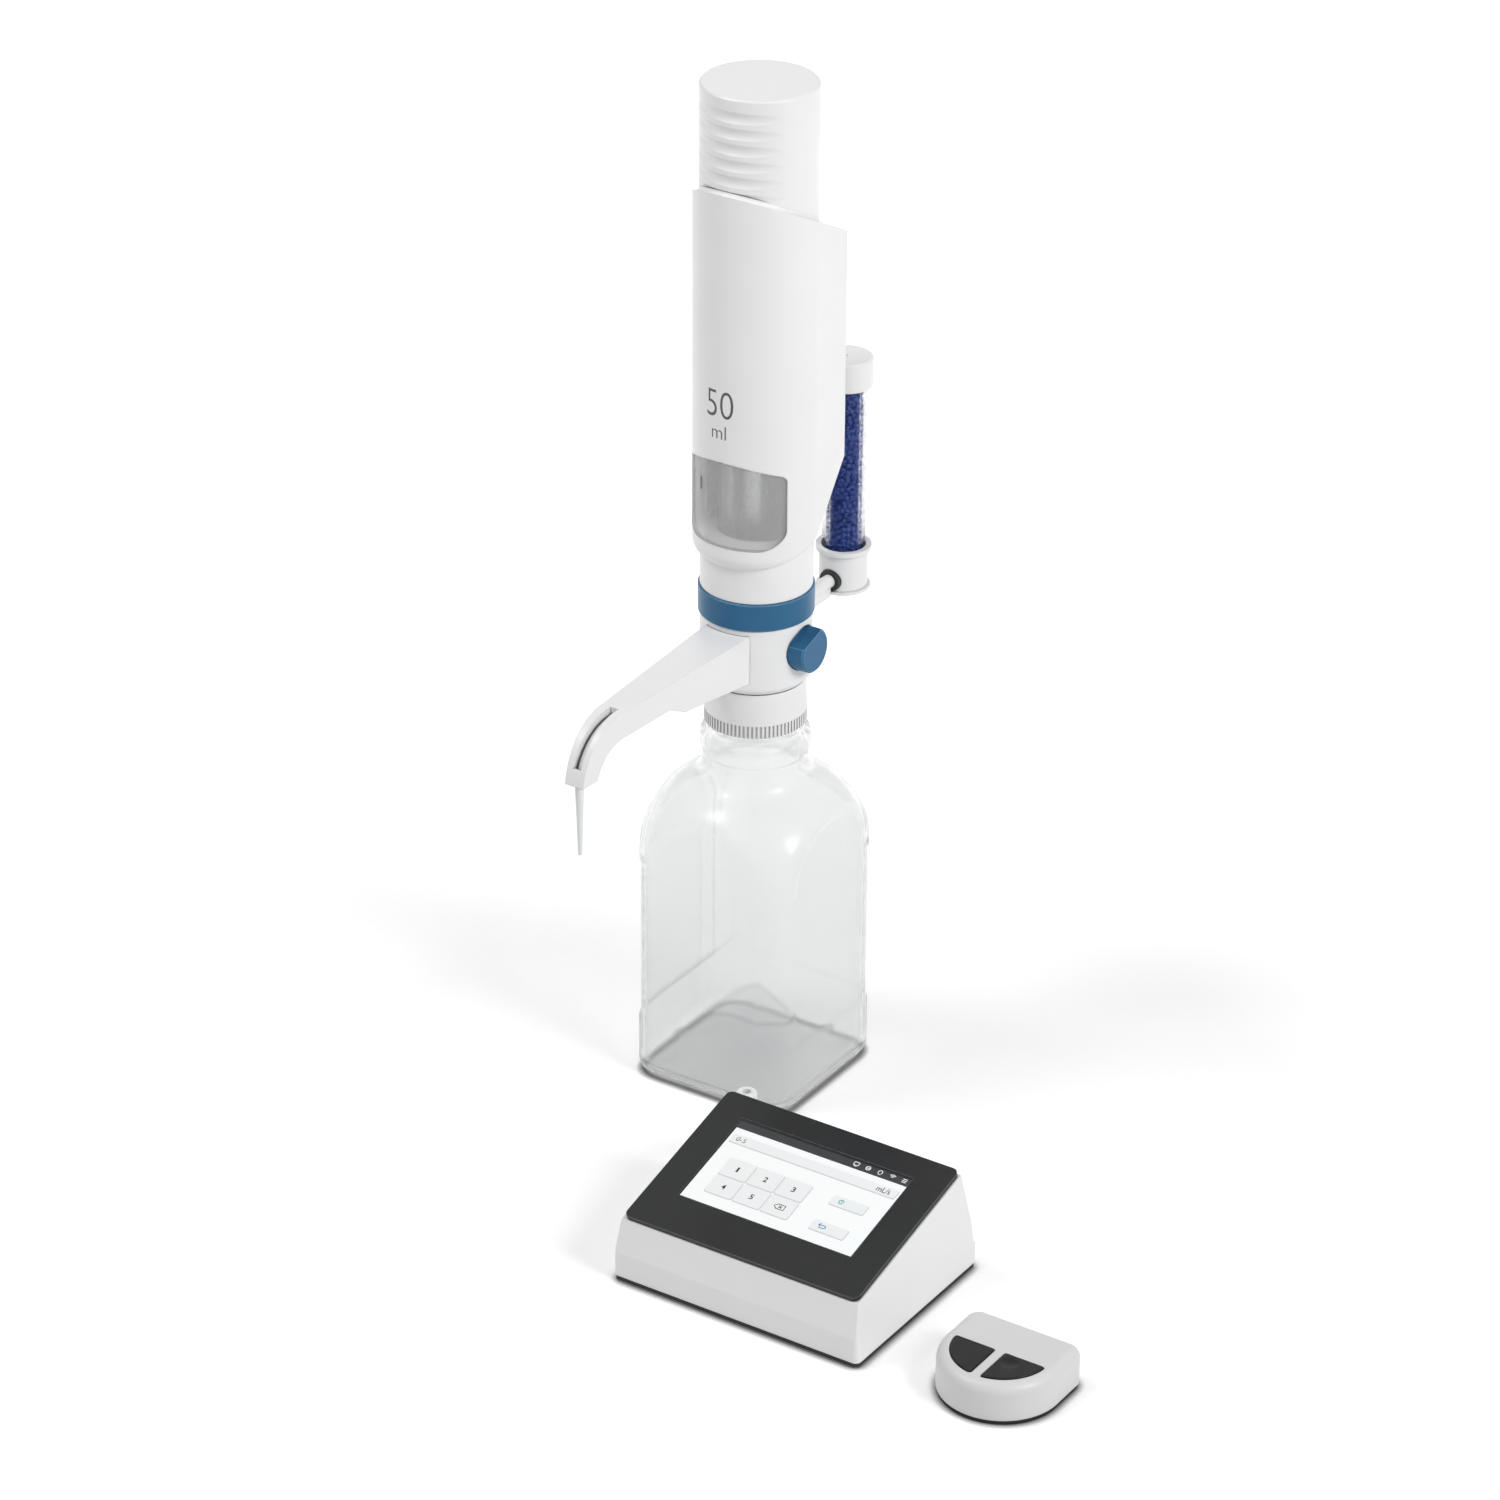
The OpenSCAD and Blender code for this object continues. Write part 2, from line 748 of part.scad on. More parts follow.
// Side view of the slot that shows the tube
module slotSide() {
    middle = [-bend_y, tube_bend_z];
    polygon(concat(
        [[slot_lead - bend_y, tube_z], [slot_lead - bend_y, arm_top_root_z + cut]],
        arcPoints(middle, bend_r + 2 * cut, 90, 90 + slot_sweep, bend_steps),
        arcPoints(middle, tube_bend_r, 90 + slot_sweep, 90, bend_steps)));
}

module armPlan() {
    reach = bend_y + bend_r + cut;
    polygon([
        [-arm_root_half_w, -arm_start_y], [arm_root_half_w, -arm_start_y],
        [arm_tip_half_w, -reach], [-arm_tip_half_w, -reach]]);
}

// Turns a profile drawn in (radius, X) down the bend, from its top through "sweep" degrees
module downBend(sweep, centre_z) {
    translate([0, -bend_y, centre_z]) rotate([0, -90, 0]) mirror([0, 1, 0])
        rotate_extrude(angle = sweep) children();
}

module discharge_arm() {
    color("white") difference() {
        intersection() {
            acrossX(2 * arm_root_half_w) armSide();
            translate([0, 0, arm_end_z - cut]) linear_extrude(bend_r + block_h) armPlan();
        }
        translate([0, 0, block_z]) cylinder(r = column_r + skin_gap, h = 2 * block_h);
        // channel of the tube, through the arm and down the bend
        translate([0, -arm_start_y, tube_z]) rotate([90, 0, 0])
            cylinder(r = tube_r + tube_gap, h = bend_y - arm_start_y);
        downBend(tube_sweep, tube_bend_z) translate([tube_bend_r, 0]) circle(tube_r + tube_gap);
        translate([0, -nozzle_y, arm_end_z - cut])
            cylinder(r = nozzle_r + skin_gap, h = nozzle_grip + 2.2 * cut);
        acrossX(slot_w) slotSide();
    }
}

module discharge_tube() {
    start_y = -dis_y + dis_r + edge_r;
    color([0.72, 0.74, 0.76]) difference() {
        union() {
            translate([0, -start_y, tube_z]) rotate([90, 0, 0]) cylinder(r = tube_r, h = bend_y - start_y);
            downBend(tube_sweep - 1, tube_bend_z) translate([tube_bend_r, 0]) circle(tube_r);
        }
        translate([0, -start_y + cut, tube_z]) rotate([90, 0, 0])
            cylinder(r = tube_bore_r, h = bend_y - start_y + cut);
        downBend(tube_sweep, tube_bend_z) translate([tube_bend_r, 0]) circle(tube_bore_r);
    }
}

module nozzle_tip() {
    color("whitesmoke") translate([0, -nozzle_y, arm_end_z]) difference() {
        union() {
            translate([0, 0, -nozzle_len]) cylinder(r1 = nozzle_tip_r, r2 = nozzle_r, h = nozzle_len);
            cylinder(r = nozzle_r, h = nozzle_grip / 2);
        }
        translate([0, 0, -nozzle_len - cut]) cylinder(r = nozzle_bore_r, h = far);
    }
}

// Vent pipe and drying tube

module vent_pipe() {
    pipe_start = column_r - pipe_sink + press_gap;
    pipe_end = dry_y - cup_r + edge_r;
    color("white") difference() {
        union() {
            translate([0, pipe_start, pipe_z]) rotate([-90, 0, 0])
                cylinder(r = pipe_r, h = pipe_end - pipe_start);
            difference() {
                translate([-web_t / 2, column_r - cut, pipe_z - web_h])
                    cube([web_t, dry_y - cup_r - column_r + cut, web_h]);
                cylinder(r = column_r + skin_gap, h = far);
                translate([0, dry_y, 0]) cylinder(r = lower_flange_r + skin_gap, h = far);
            }
        }
        translate([0, pipe_start - cut, pipe_z]) rotate([-90, 0, 0]) cylinder(r = pipe_bore_r, h = far);
    }
}

module port_ring() {
    ring_y = dry_y - cup_r - port_len + 2 * edge_r;
    color("black") difference() {
        translate([0, ring_y, pipe_z]) rotate([-90, 0, 0]) pipe(port_r, pipe_r + press_gap, port_len);
        translate([-web_t / 2 - skin_gap, ring_y - cut, pipe_z - web_h])
            cube([web_t + 2 * skin_gap, far, web_h]);
    }
}

module drying_cup() {
    color("white") difference() {
        translate([0, dry_y, cup_z]) {
            cylinder(r = cup_r, h = cup_h);
            cylinder(r = lower_flange_r, h = lower_flange_h);
            translate([0, 0, cup_h - cup_flange_h]) cylinder(r = cup_flange_r, h = cup_flange_h);
        }
        translate([0, dry_y, dry_z]) cylinder(r = dry_r + skin_gap / 2, h = far);
        translate([0, dry_y, cup_z + cup_floor]) cylinder(r = chamber_r, h = far);
        translate([0, dry_y - cup_r - cut, pipe_z]) rotate([-90, 0, 0])
            cylinder(r = port_r + skin_gap, h = 2 * edge_r + cut + skin_gap);
        translate([0, dry_y - cup_r - cut, pipe_z - edge_r]) rotate([-90, 0, 0])
            cylinder(r = pipe_bore_r, h = cup_r);
    }
}

module drying_tube() {
    color([0.9, 0.92, 0.94, 0.4]) translate([0, dry_y, dry_z]) pipe(dry_r, dry_r - dry_wall, dry_len);
}

module desiccant() {
    color([0.1, 0.17, 0.5]) translate([0, dry_y, dry_z])
        cylinder(r = dry_r - dry_wall - fill_gap, h = dry_len - fill_down);
}

module drying_cap() {
    color("white") difference() {
        translate([0, dry_y, dry_top - dry_cap_grip]) bevelTop(dry_cap_r, dry_cap_h);
        translate([0, dry_y, dry_top - dry_cap_grip - cut])
            cylinder(r = dry_r + turn_gap, h = dry_cap_grip + run_gap + cut);
        translate([0, dry_y, dry_top - dry_cap_grip])
            cylinder(r = dry_r - dry_wall, h = dry_cap_h - dry_cap_roof);
        translate([0, dry_y, dry_top]) cylinder(r = vent_hole_r, h = far);
    }
}

// Ring, column and cylinder

module locking_ring() {
    color([0.24, 0.44, 0.62]) translate([0, 0, ring_z]) difference() {
        rotate_extrude() polygon([
            [0, 0], [ring_r - edge_r / 2, 0], [ring_r, edge_r / 2], [ring_r, ring_h - edge_r / 2],
            [ring_r - edge_r / 2, ring_h], [0, ring_h]]);
        translate([0, 0, -cut]) cylinder(r = spigot_r + turn_gap, h = ring_h + 2 * cut);
    }
}

// Space above the housing's slanted underside raised by "up"
module aboveUnderside(up) {
    y = 2 * housing_r;
    acrossX(2 * y) polygon([
        [-y, rimAt(-y) + up], [kink_y, rimAt(kink_y) + up], [y, wingAt(y) + up], [y, far], [-y, far]]);
}

module column_sleeve() {
    sleeve_top = wingAt(column_r) + housing_wall + 2 * edge_r;
    color("white") difference() {
        union() {
            translate([0, 0, spigot_top + turn_gap]) cylinder(r = spigot_r, h = sleeve_z - spigot_top);
            translate([0, 0, sleeve_z]) cylinder(r = column_r, h = sleeve_top - sleeve_z);
            // lip that lies on the housing's floor, front half only
            intersection() {
                translate([0, 0, rimAt(-inner_r)])
                    cylinder(r = inner_r - skin_gap, h = rim_z - rimAt(-inner_r));
                aboveUnderside(housing_wall);
            }
        }
        cylinder(r = glass_r + skin_gap, h = far);
        translate([0, 0, sleeve_z + sleeve_floor]) cylinder(r = column_r - sleeve_wall, h = far);
        aboveUnderside(housing_wall + 2 * edge_r);
    }
}

module cylinder_seal() {
    color("dimgray") translate([0, 0, spigot_top]) pipe(glass_r, seal_in_r, seal_t);
}

module glass_cylinder() {
    color([0.85, 0.9, 0.92, 0.4]) translate([0, 0, glass_z]) pipe(glass_r, bore_r, glass_h);
}

module cylinder_clamp() {
    lip_h = 4;
    color("lightgray") difference() {
        translate([0, 0, clamp_z - lip_h]) cylinder(r = plate_r, h = clamp_t + lip_h);
        translate([0, 0, clamp_z - lip_h - cut]) cylinder(r = glass_r + skin_gap, h = lip_h + cut);
        translate([0, 0, clamp_z - cut]) cylinder(r = rod_r + turn_gap, h = far);
        for (s = [-1, 1]) translate([s * guide_x, 0, clamp_z + clamp_t - guide_lap])
            cylinder(r = guide_r + press_gap, h = far);
        // flat front, clear of the window
        translate([-far / 2, -far - glass_r - 1.5 * glass_wall, 0]) cube([far, far, far + glass_top]);
    }
}

module piston() {
    color("white") translate([0, 0, piston_z]) difference() {
        cylinder(r = bore_r - piston_gap, h = piston_h);
        for (s = seal_up_share) translate([0, 0, s * piston_h])
            pipe(bore_r, bore_r - piston_gap - seal_groove_d, seal_groove_h);
    }
}

module piston_seals() {
    seal_in = bore_r - piston_gap - seal_groove_d + press_gap;
    color([0.2, 0.2, 0.2]) for (s = seal_up_share)
        translate([0, 0, piston_z + s * piston_h + press_gap])
            pipe(bore_r - run_gap, seal_in, seal_groove_h - 2 * press_gap);
}

module piston_rod() {
    color("silver") translate([0, 0, piston_z + piston_h]) difference() {
        cylinder(r = rod_r, h = rod_top - piston_z - piston_h);
        translate([0, 0, rod_floor]) cylinder(r = rod_bore_r, h = far);
    }
}

module drive_nut() {
    color("goldenrod") translate([0, 0, nut_z]) difference() {
        intersection() {
            cylinder(r = nut_r, h = nut_h);
            translate([-nut_r, -nut_half_w, 0]) cube([2 * nut_r, 2 * nut_half_w, nut_h]);
        }
        translate([0, 0, -cut]) cylinder(r = screw_r + run_gap, h = far);
        for (s = [-1, 1]) translate([s * guide_x, 0, -cut]) cylinder(r = guide_r + run_gap, h = far);
    }
}

// Screw drive

module lead_screw() {
    color("silver") translate([0, 0, screw_z])
        cylinder(r = screw_r, h = coupling_split - screw_z - edge_r / 2);
}

module guide_rods() {
    low = clamp_z + clamp_t - guide_lap;
    color("silver") for (s = [-1, 1]) translate([s * guide_x, 0, low])
        cylinder(r = guide_r, h = bearing_z + guide_lap - low);
}

module bearing_plate() {
    color("lightgray") difference() {
        translate([0, 0, bearing_z]) cylinder(r = plate_r, h = bearing_t);
        translate([0, 0, bearing_z - cut]) cylinder(r = bearing_r + press_gap, h = far);
        for (s = [-1, 1]) translate([s * guide_x, 0, bearing_z - cut])
            cylinder(r = guide_r + press_gap, h = guide_lap + cut);
    }
}

module screw_bearing() {
    color("silver") translate([0, 0, bearing_z]) pipe(bearing_r, screw_r + run_gap, bearing_t);
}

module motor_coupling() {
    color("gray") translate([0, 0, coupling_z]) difference() {
        cylinder(r = coupling_r, h = coupling_h);
        translate([0, 0, -cut]) cylinder(r = screw_r + press_gap, h = coupling_h / 2 + cut);
        translate([0, 0, coupling_h / 2 - edge_r]) cylinder(r = shaft_r + press_gap, h = far);
    }
}

module motor_shaft() {
    color("silver") translate([0, 0, coupling_split])
        cylinder(r = shaft_r, h = motor_z + motor_h - 4 * edge_r - coupling_split);
}

module motor_plate() {
    color("lightgray") translate([0, 0, motor_plate_z]) difference() {
        cylinder(r = cap_r - cap_wall - skin_gap, h = motor_plate_t);
        translate([0, 0, -cut]) cylinder(r = boss_r + skin_gap, h = far);
    }
}

module plate_spacers() {
    color("silver") for (a = [45:90:315]) rotate(a) translate([spacer_ring_r, 0, bearing_top])
        cylinder(r = spacer_r, h = spacer_h);
}

module drive_motor() {
    side = motor_w - 2 * motor_corner;
    color([0.25, 0.26, 0.28]) difference() {
        union() {
            translate([0, 0, motor_z]) linear_extrude(motor_h) intersection() {
                square(motor_w, center = true);
                rotate(45) square(motor_w * sqrt(2) - motor_corner * sqrt(2), center = true);
            }
            translate([0, 0, motor_z - boss_h]) cylinder(r = boss_r, h = boss_h + edge_r);
        }
        translate([0, 0, motor_z - boss_h - cut])
            cylinder(r = shaft_r + run_gap, h = motor_h + boss_h + cut - 3 * edge_r);
    }
}

// Housing

// Plan of the housing drawn in by "inset": a round front run tangentially into a flat back
module housingPlan(inset, back_inset) {
    r = housing_r - inset;
    x = wing_half_w - inset;
    y = wing_y - back_inset;
    reach = sqrt(x * x + y * y);
    touch = atan2(y, x) - acos(r / reach);
    circle(r);
    polygon([
        [r * cos(touch), r * sin(touch)], [x, y], [-x, y], [-r * cos(touch), r * sin(touch)], [0, 0]]);
}

// Side view of the housing: slanted rim, raised wing and sloping roof
module housingSide(inset, top_inset) {
    y_front = -housing_r - cut;
    y_back = wing_y + cut;
    polygon([
        [y_front, rimAt(y_front) + inset], [kink_y, rimAt(kink_y) + inset],
        [y_back, wingAt(y_back) + inset], [y_back, roofAt(y_back) - top_inset],
        [y_front, roofAt(y_front) - top_inset]]);
}
module housingForm(inset, back_inset, top_inset) {
    intersection() {
        translate([0, 0, rimAt(-housing_r - cut)]) linear_extrude(far) housingPlan(inset, back_inset);
        acrossX(2 * housing_r + 2 * cut) housingSide(inset, top_inset);
    }
}

// Front view of the window, drawn in by "inset"
module windowFront(inset) {
    w = window_half_w - inset;
    low = window_low_z + inset;
    arc = window_arc_r - inset;
    arc_z = window_front_z - window_arc_r;
    r = window_corner_r - inset;
    t = window_top_corner_r - inset / 2;
    t_z = arc_z + sqrt((arc - t) * (arc - t) - (w - t) * (w - t));
    a = atan2(t_z - arc_z, w - t);
    step = (180 - 2 * a) / window_arc_steps;
    polygon(concat(
        arcPoints([r - w, low + r], r, 180, 270, window_corner_steps),
        arcPoints([w - r, low + r], r, 270, 360, window_corner_steps),
        arcPoints([w - t, t_z], t, 0, a, window_corner_steps),
        arcPoints([0, arc_z], arc, a + step, 180 - a - step, window_arc_steps - 2),
        arcPoints([t - w, t_z], t, 180 - a, 180, window_corner_steps)));
}

module windowCut(inset) {
    rotate([90, 0, 0]) linear_extrude(far) windowFront(inset);
}

// Ring that rounds the lower front edge of the housing
module rimRounder() {
    low_z = rimAt(-housing_r) - cut;
    start_z = rimAt(-housing_r) + rim_round_h;
    rotate_extrude() difference() {
        translate([column_r - cut, low_z]) square([housing_r, start_z - low_z]);
        translate([housing_r - rim_round_r, start_z]) circle(rim_round_r);
        translate([0, low_z - cut]) square([housing_r - rim_round_r, far]);
    }
}

module coverSlot(inset, depth) {
    translate([-cover_half_w + inset, wing_y - depth, cover_z + inset])
        cube([2 * (cover_half_w - inset), depth + cut, cover_h - 2 * inset]);
}

module housing_shell() {
    color("white") difference() {
        housingForm(0, 0, 0);
        housingForm(housing_wall, housing_wall + wing_lip, 1.2 * housing_wall);
        translate([0, 0, sleeve_z])
            cylinder(r = column_r + skin_gap, h = wingAt(column_r) + 2 * housing_wall - sleeve_z);
        translate([0, 0, cap_z + edge_r]) cylinder(r = cap_r + skin_gap, h = far);
        rimRounder();
        windowCut(0);
        coverSlot(0, housing_wall + skin_gap);
        coverSlot(cover_lip_w, 2 * (housing_wall + wing_lip));
    }
}

module window_shield() {
    color([0.8, 0.84, 0.86, 0.35]) intersection() {
        pipe(housing_r - skin_gap, housing_r - skin_gap - shield_t, far);
        windowCut(skin_gap);
    }
}

module rear_cover() {
    color("white") difference() {
        translate([-cover_half_w + skin_gap, wing_y - housing_wall, cover_z + skin_gap])
            cube([2 * (cover_half_w - skin_gap), housing_wall, cover_h - 2 * skin_gap]);
        translate([0, wing_y - housing_wall - cut, cover_z + socket_up]) rotate([-90, 0, 0])
            cylinder(r = socket_r + skin_gap, h = far);
        coverCorners() {
            cylinder(r = screw_head_r + press_gap, h = screw_head_t + press_gap);
            cylinder(r = screw_shank_r + press_gap, h = far);
        }
    }
}

// Places a screw at each corner of the rear cover, head at the outer face and shank inwards
module coverCorners() {
    x = cover_half_w - screw_inset - screw_head_r / 2;
    for (sx = [-1, 1], sz = [0, 1])
        translate([sx * x, wing_y, cover_z + screw_inset + screw_head_r / 2
            + sz * (cover_h - 2 * screw_inset - screw_head_r)])
            rotate([90, 0, 0]) translate([0, 0, -press_gap]) children();
}

module cover_screws() {
    color("silver") coverCorners() translate([0, 0, press_gap]) {
        cylinder(r = screw_head_r, h = screw_head_t);
        cylinder(r = screw_shank_r, h = housing_wall - edge_r / 2);
    }
}

module head_socket() {
    color([0.15, 0.15, 0.16]) translate([0, wing_y + socket_proud, cover_z + socket_up]) rotate([90, 0, 0])
        difference() {
            union() {
                cylinder(r = socket_r, h = socket_len);
                cylinder(r = socket_r + socket_proud, h = socket_proud - press_gap);
            }
            translate([0, 0, -cut]) cylinder(r = socket_bore_r, h = socket_len - 2 * edge_r + cut);
        }
}

module main_board() {
    y = wing_y - housing_wall - wing_lip - board_gap;
    color([0.1, 0.35, 0.2]) {
        translate([-board_half_w, y, cover_z + board_up]) cube([2 * board_half_w, board_t, board_h]);
        for (sx = [-1, 1], sz = [board_post_share, 1 - board_post_share])
            translate([sx * (board_half_w - 2 * screw_head_r), y, cover_z + board_up + sz * board_h])
                rotate([-90, 0, 0]) cylinder(r = screw_head_r, h = wing_y - housing_wall - y);
    }
}

// Half profile of the finger grooves, closed well outside the cap
module grooveProfile() {
    low_r = cap_r - groove_depth + groove_shift;
    half = groove_share * groove_pitch;
    for (i = [0:groove_count - 1])
        translate([low_r + groove_r, cap_top - groove_first - i * groove_pitch]) intersection() {
            circle(groove_r);
            translate([-groove_r, -half]) square([groove_r, 2 * half]);
        }
}

module top_cap() {
    color("white") difference() {
        translate([0, 0, cap_z]) bevelTop(cap_r, cap_top - cap_z);
        translate([0, 0, cap_z - cut]) cylinder(r = cap_r - cap_wall, h = cap_top - cap_z - cap_wall + cut);
        translate([0, groove_shift, 0]) rotate_extrude() grooveProfile();
    }
}

// Controller

// Side view of the wedge, drawn in by "inset" and a little longer than its plan
module wedgeSide(inset) {
    drop = (inset + panel_t) / cos(panel_tilt);
    front_y = ctrl_y + inset;
    rear_y = ctrl_y + ctrl_d - inset;
    polygon([
        [front_y - cut, foot_t], [front_y - cut, wall_z],
        [panel_y0 + inset, panel_low_z - drop], [panel_y1 - inset / 2, panel_high_z - drop],
        [rear_y - back_lean_y, plinth_z + flare_h], [rear_y + cut, plinth_z], [rear_y + cut, foot_t]]);
}

// The side walls lean in towards the panel, which they meet along its whole edge
module wedgeEnds(inset) {
    half = panel_w / 2 + side_tuck - inset;
    low_half = half + side_lean * ctrl_d;
    onPanel() translate([panel_w / 2, 0, 0]) acrossY(2 * far)
        polygon([[-low_half, -ctrl_d], [low_half, -ctrl_d], [half, 0], [-half, 0]]);
}

module wedgeForm(inset) {
    intersection() {
        acrossXAt(ctrl_mid[0], 2 * ctrl_w) wedgeSide(inset);
        wedgeEnds(inset);
        translate(ctrl_mid) linear_extrude(2 * panel_high_z)
            roundRect(ctrl_w - 2 * inset, ctrl_d - 2 * inset, ctrl_corner_r);
    }
}

module acrossXAt(x, w) {
    translate([x, 0, 0]) acrossX(w) children();
}

// Moves into the frame of the sloping panel: X across, Y up the slope, Z out of its upper face
module onPanel() {
    translate([ctrl_mid[0] - panel_w / 2, panel_y0, panel_low_z]) rotate([panel_tilt, 0, 0]) children();
}

module screenBlock(gap, t) {
    translate([screen_x - gap, screen_v - gap, -t]) cube([screen_w + 2 * gap, screen_h + 2 * gap, t + cut]);
}

module controller_housing() {
    color("white") difference() {
        union() {
            wedgeForm(0);
            translate([post_x, post_y, ctrl_floor_z]) cylinder(r = lug_r, h = lug_h);
        }
        translate(ctrl_mid + [0, 0, -cut]) linear_extrude(cut + ctrl_floor_z)
            square([2 * ctrl_w, 2 * ctrl_d], center = true);
        wedgeForm(ctrl_wall);
        onPanel() screenBlock(skin_gap, screen_t);
        onPanel() translate([panel_w / 2 - ribbon_w / 2, screen_v + 2 * ctrl_wall, -4 * panel_t])
            cube([ribbon_w, ctrl_wall, 4 * panel_t]);
        translate([post_x, post_y, post_low - cut]) cylinder(r = post_r + press_gap, h = far);
        atJack() translate([0, 0, -cut]) cylinder(r = jack_r + press_gap, h = jack_len + cut);
    }
}

module controller_base() {
    base_in = edge_r / 2;
    color([0.12, 0.12, 0.13]) difference() {
        union() {
            translate(ctrl_mid + [0, 0, foot_t]) linear_extrude(ctrl_base_t)
                roundRect(ctrl_w - 2 * base_in, ctrl_d - 2 * base_in, ctrl_corner_r);
            ctrlScrewPlaces() cylinder(r = ctrl_post_r, h = ctrl_base_t + ctrl_post_h);
        }
        ctrlScrewPlaces() translate([0, 0, -cut])
            cylinder(r = base_screw_r + press_gap, h = cut + base_screw_t);
    }
}

module ctrlCorners(inset) {
    for (sx = [-1, 1], sy = [-1, 1])
        translate(ctrl_mid + [sx * (ctrl_w / 2 - inset), sy * (ctrl_d / 2 - inset), 0]) children();
}

module ctrlScrewPlaces() {
    translate([0, 0, foot_t]) ctrlCorners(2 * foot_inset) children();
}

module controller_feet() {
    color([0.08, 0.08, 0.08]) ctrlCorners(foot_inset) cylinder(r = foot_pad_r, h = foot_t);
}

module front_panel() {
    color([0.22, 0.22, 0.23]) onPanel() difference() {
        translate([panel_w / 2, panel_len / 2, -panel_t]) linear_extrude(panel_t)
            roundRect(panel_w, panel_len, panel_corner_r);
        translate([0, 0, cut]) screenBlock(skin_gap, 2 * panel_t);
    }
}

module touch_screen() {
    color([0.95, 0.97, 0.98]) onPanel() translate([screen_x, screen_v, -screen_t])
        cube([screen_w, screen_h, screen_t - screen_dip]);
}

module controller_board() {
    color([0.1, 0.35, 0.2]) translate(ctrl_mid + [0, 0, ctrl_floor_z + ctrl_post_h])
        linear_extrude(ctrl_board_t)
            square([ctrl_w - 2 * ctrl_board_in, ctrl_d - 2 * ctrl_board_in], center = true);
}

module link_post() {
    color("whitesmoke") difference() {
        translate([post_x, post_y, post_low]) bevelTop(post_r, post_top - post_low);
        translate([post_x, post_y, post_top - post_bore_len]) cylinder(r = post_bore_r, h = far);
    }
}

// Places a piece in the rear wall, Z pointing inwards
module atJack() {
    translate([ctrl_x + jack_x_share * ctrl_w, ctrl_y + ctrl_d, jack_z]) rotate([90, 0, 0]) children();
}

module power_socket() {
    color([0.1, 0.1, 0.1]) atJack() difference() {
        cylinder(r = jack_r, h = jack_len);
        translate([0, 0, -cut]) cylinder(r = jack_bore_r, h = jack_len - 2 * edge_r + cut);
    }
}

// Hand switch

// Plan of the hand switch drawn in by "inset": a round front and a straight back
module switchPlan(inset) {
    r = switch_corner_r;
    half = switch_r - inset;
    circle(half);
    translate([-half, 0]) square([2 * half, switch_back - inset - r]);
    translate([r - half, 0]) square([2 * (half - r), switch_back - inset]);
    for (s = [-1, 1]) translate([s * (half - r), switch_back - inset - r]) circle(r);
}

module atSwitch() {
    translate([switch_x, switch_y, 0]) children();
}

module switchBody() {
    r = switch_edge_r;
    corner = switch_corner_r + edge_r;
    hull() {
        translate([0, 0, switch_base_t]) linear_extrude(edge_r, $fn = 48) circle(switch_r);
        translate([0, 0, switch_h - r]) rotate_extrude($fn = 48)
            translate([switch_r - r, 0]) intersection() {
                circle(r, $fn = 32);
                square(r);
            }
        for (s = [-1, 1]) translate([s * (switch_r - corner), switch_back - corner, 0]) {
            translate([0, 0, switch_base_t]) linear_extrude(edge_r, $fn = 32) circle(corner);
            translate([0, 0, switch_h - r]) rotate_extrude($fn = 32)
                translate([corner - r, 0]) intersection() {
                    circle(r, $fn = 32);
                    square(r);
                }
        }
    }
}

// Quarter disc of one button, on the +X side, drawn out by "gap"
module buttonPlan(gap) {
    intersection() {
        circle(button_r + gap);
        translate([button_half_gap - gap, -button_back - button_r - gap])
            square([button_r + gap, button_r + gap + gap]);
    }
}

module switch_housing() {
    color([0.88, 0.88, 0.88]) atSwitch() difference() {
        switchBody();
        translate([0, 0, -cut]) linear_extrude(switch_h - switch_roof + cut) switchPlan(switch_wall);
        for (s = [0, 1]) mirror([s, 0, 0]) translate([0, 0, switch_base_t])
            linear_extrude(far) buttonPlan(turn_gap);
    }
}

module switch_base() {
    color([0.08, 0.08, 0.08]) atSwitch() difference() {
        union() {
            linear_extrude(switch_base_t - press_gap) switchPlan(edge_r);
            for (s = [-1, 1]) translate([s * switch_r / 2, switch_back / 2, 0])
                cylinder(r = ctrl_post_r, h = switch_base_t + switch_board_h);
        }
        for (s = [-1, 1]) translate([s * switch_r / 2, switch_back / 2, -cut])
            cylinder(r = base_screw_r + press_gap, h = cut + base_screw_t);
    }
}

module switchButton() {
    low = button_top - button_t;
    pin_z = tact_z + tact_h + button_travel + run_gap;
    atSwitch() {
        translate([0, 0, low]) linear_extrude(button_t) buttonPlan(0);
        translate([0, 0, low]) linear_extrude(button_lip_t) buttonPlan(button_lip);
        translate([tact_x, -tact_y, pin_z]) cylinder(r = tact_pin_r, h = low + button_lip_t / 2 - pin_z);
    }
}

module left_button() {
    color([0.2, 0.2, 0.2]) translate([2 * switch_x, 0, 0]) mirror([1, 0, 0]) switchButton();
}

module right_button() {
    dish_ball_r = (dish_r * dish_r + dish_dip * dish_dip) / (2 * dish_dip);
    color([0.2, 0.2, 0.2]) difference() {
        switchButton();
        atSwitch() translate([dish_x, -dish_y, button_top + dish_ball_r - dish_dip]) sphere(dish_ball_r);
    }
}

module switch_board() {
    color([0.1, 0.35, 0.2]) atSwitch() translate([0, 0, switch_base_t + switch_board_h])
        linear_extrude(switch_board_t) switchPlan(2.4 * switch_wall);
}

module tactile_switches() {
    color([0.3, 0.3, 0.32]) atSwitch() for (s = [-1, 1])
        translate([s * tact_x - tact_w / 2, -tact_y - tact_w / 2, tact_z])
            cube([tact_w, tact_w, tact_h]);
}

module base_screws() {
    color("silver") {
        ctrlScrewPlaces() cylinder(r = base_screw_r, h = base_screw_t);
        atSwitch() for (s = [-1, 1]) translate([s * switch_r / 2, switch_back / 2, edge_r / 4])
            cylinder(r = base_screw_r, h = base_screw_t - edge_r / 4);
    }
}

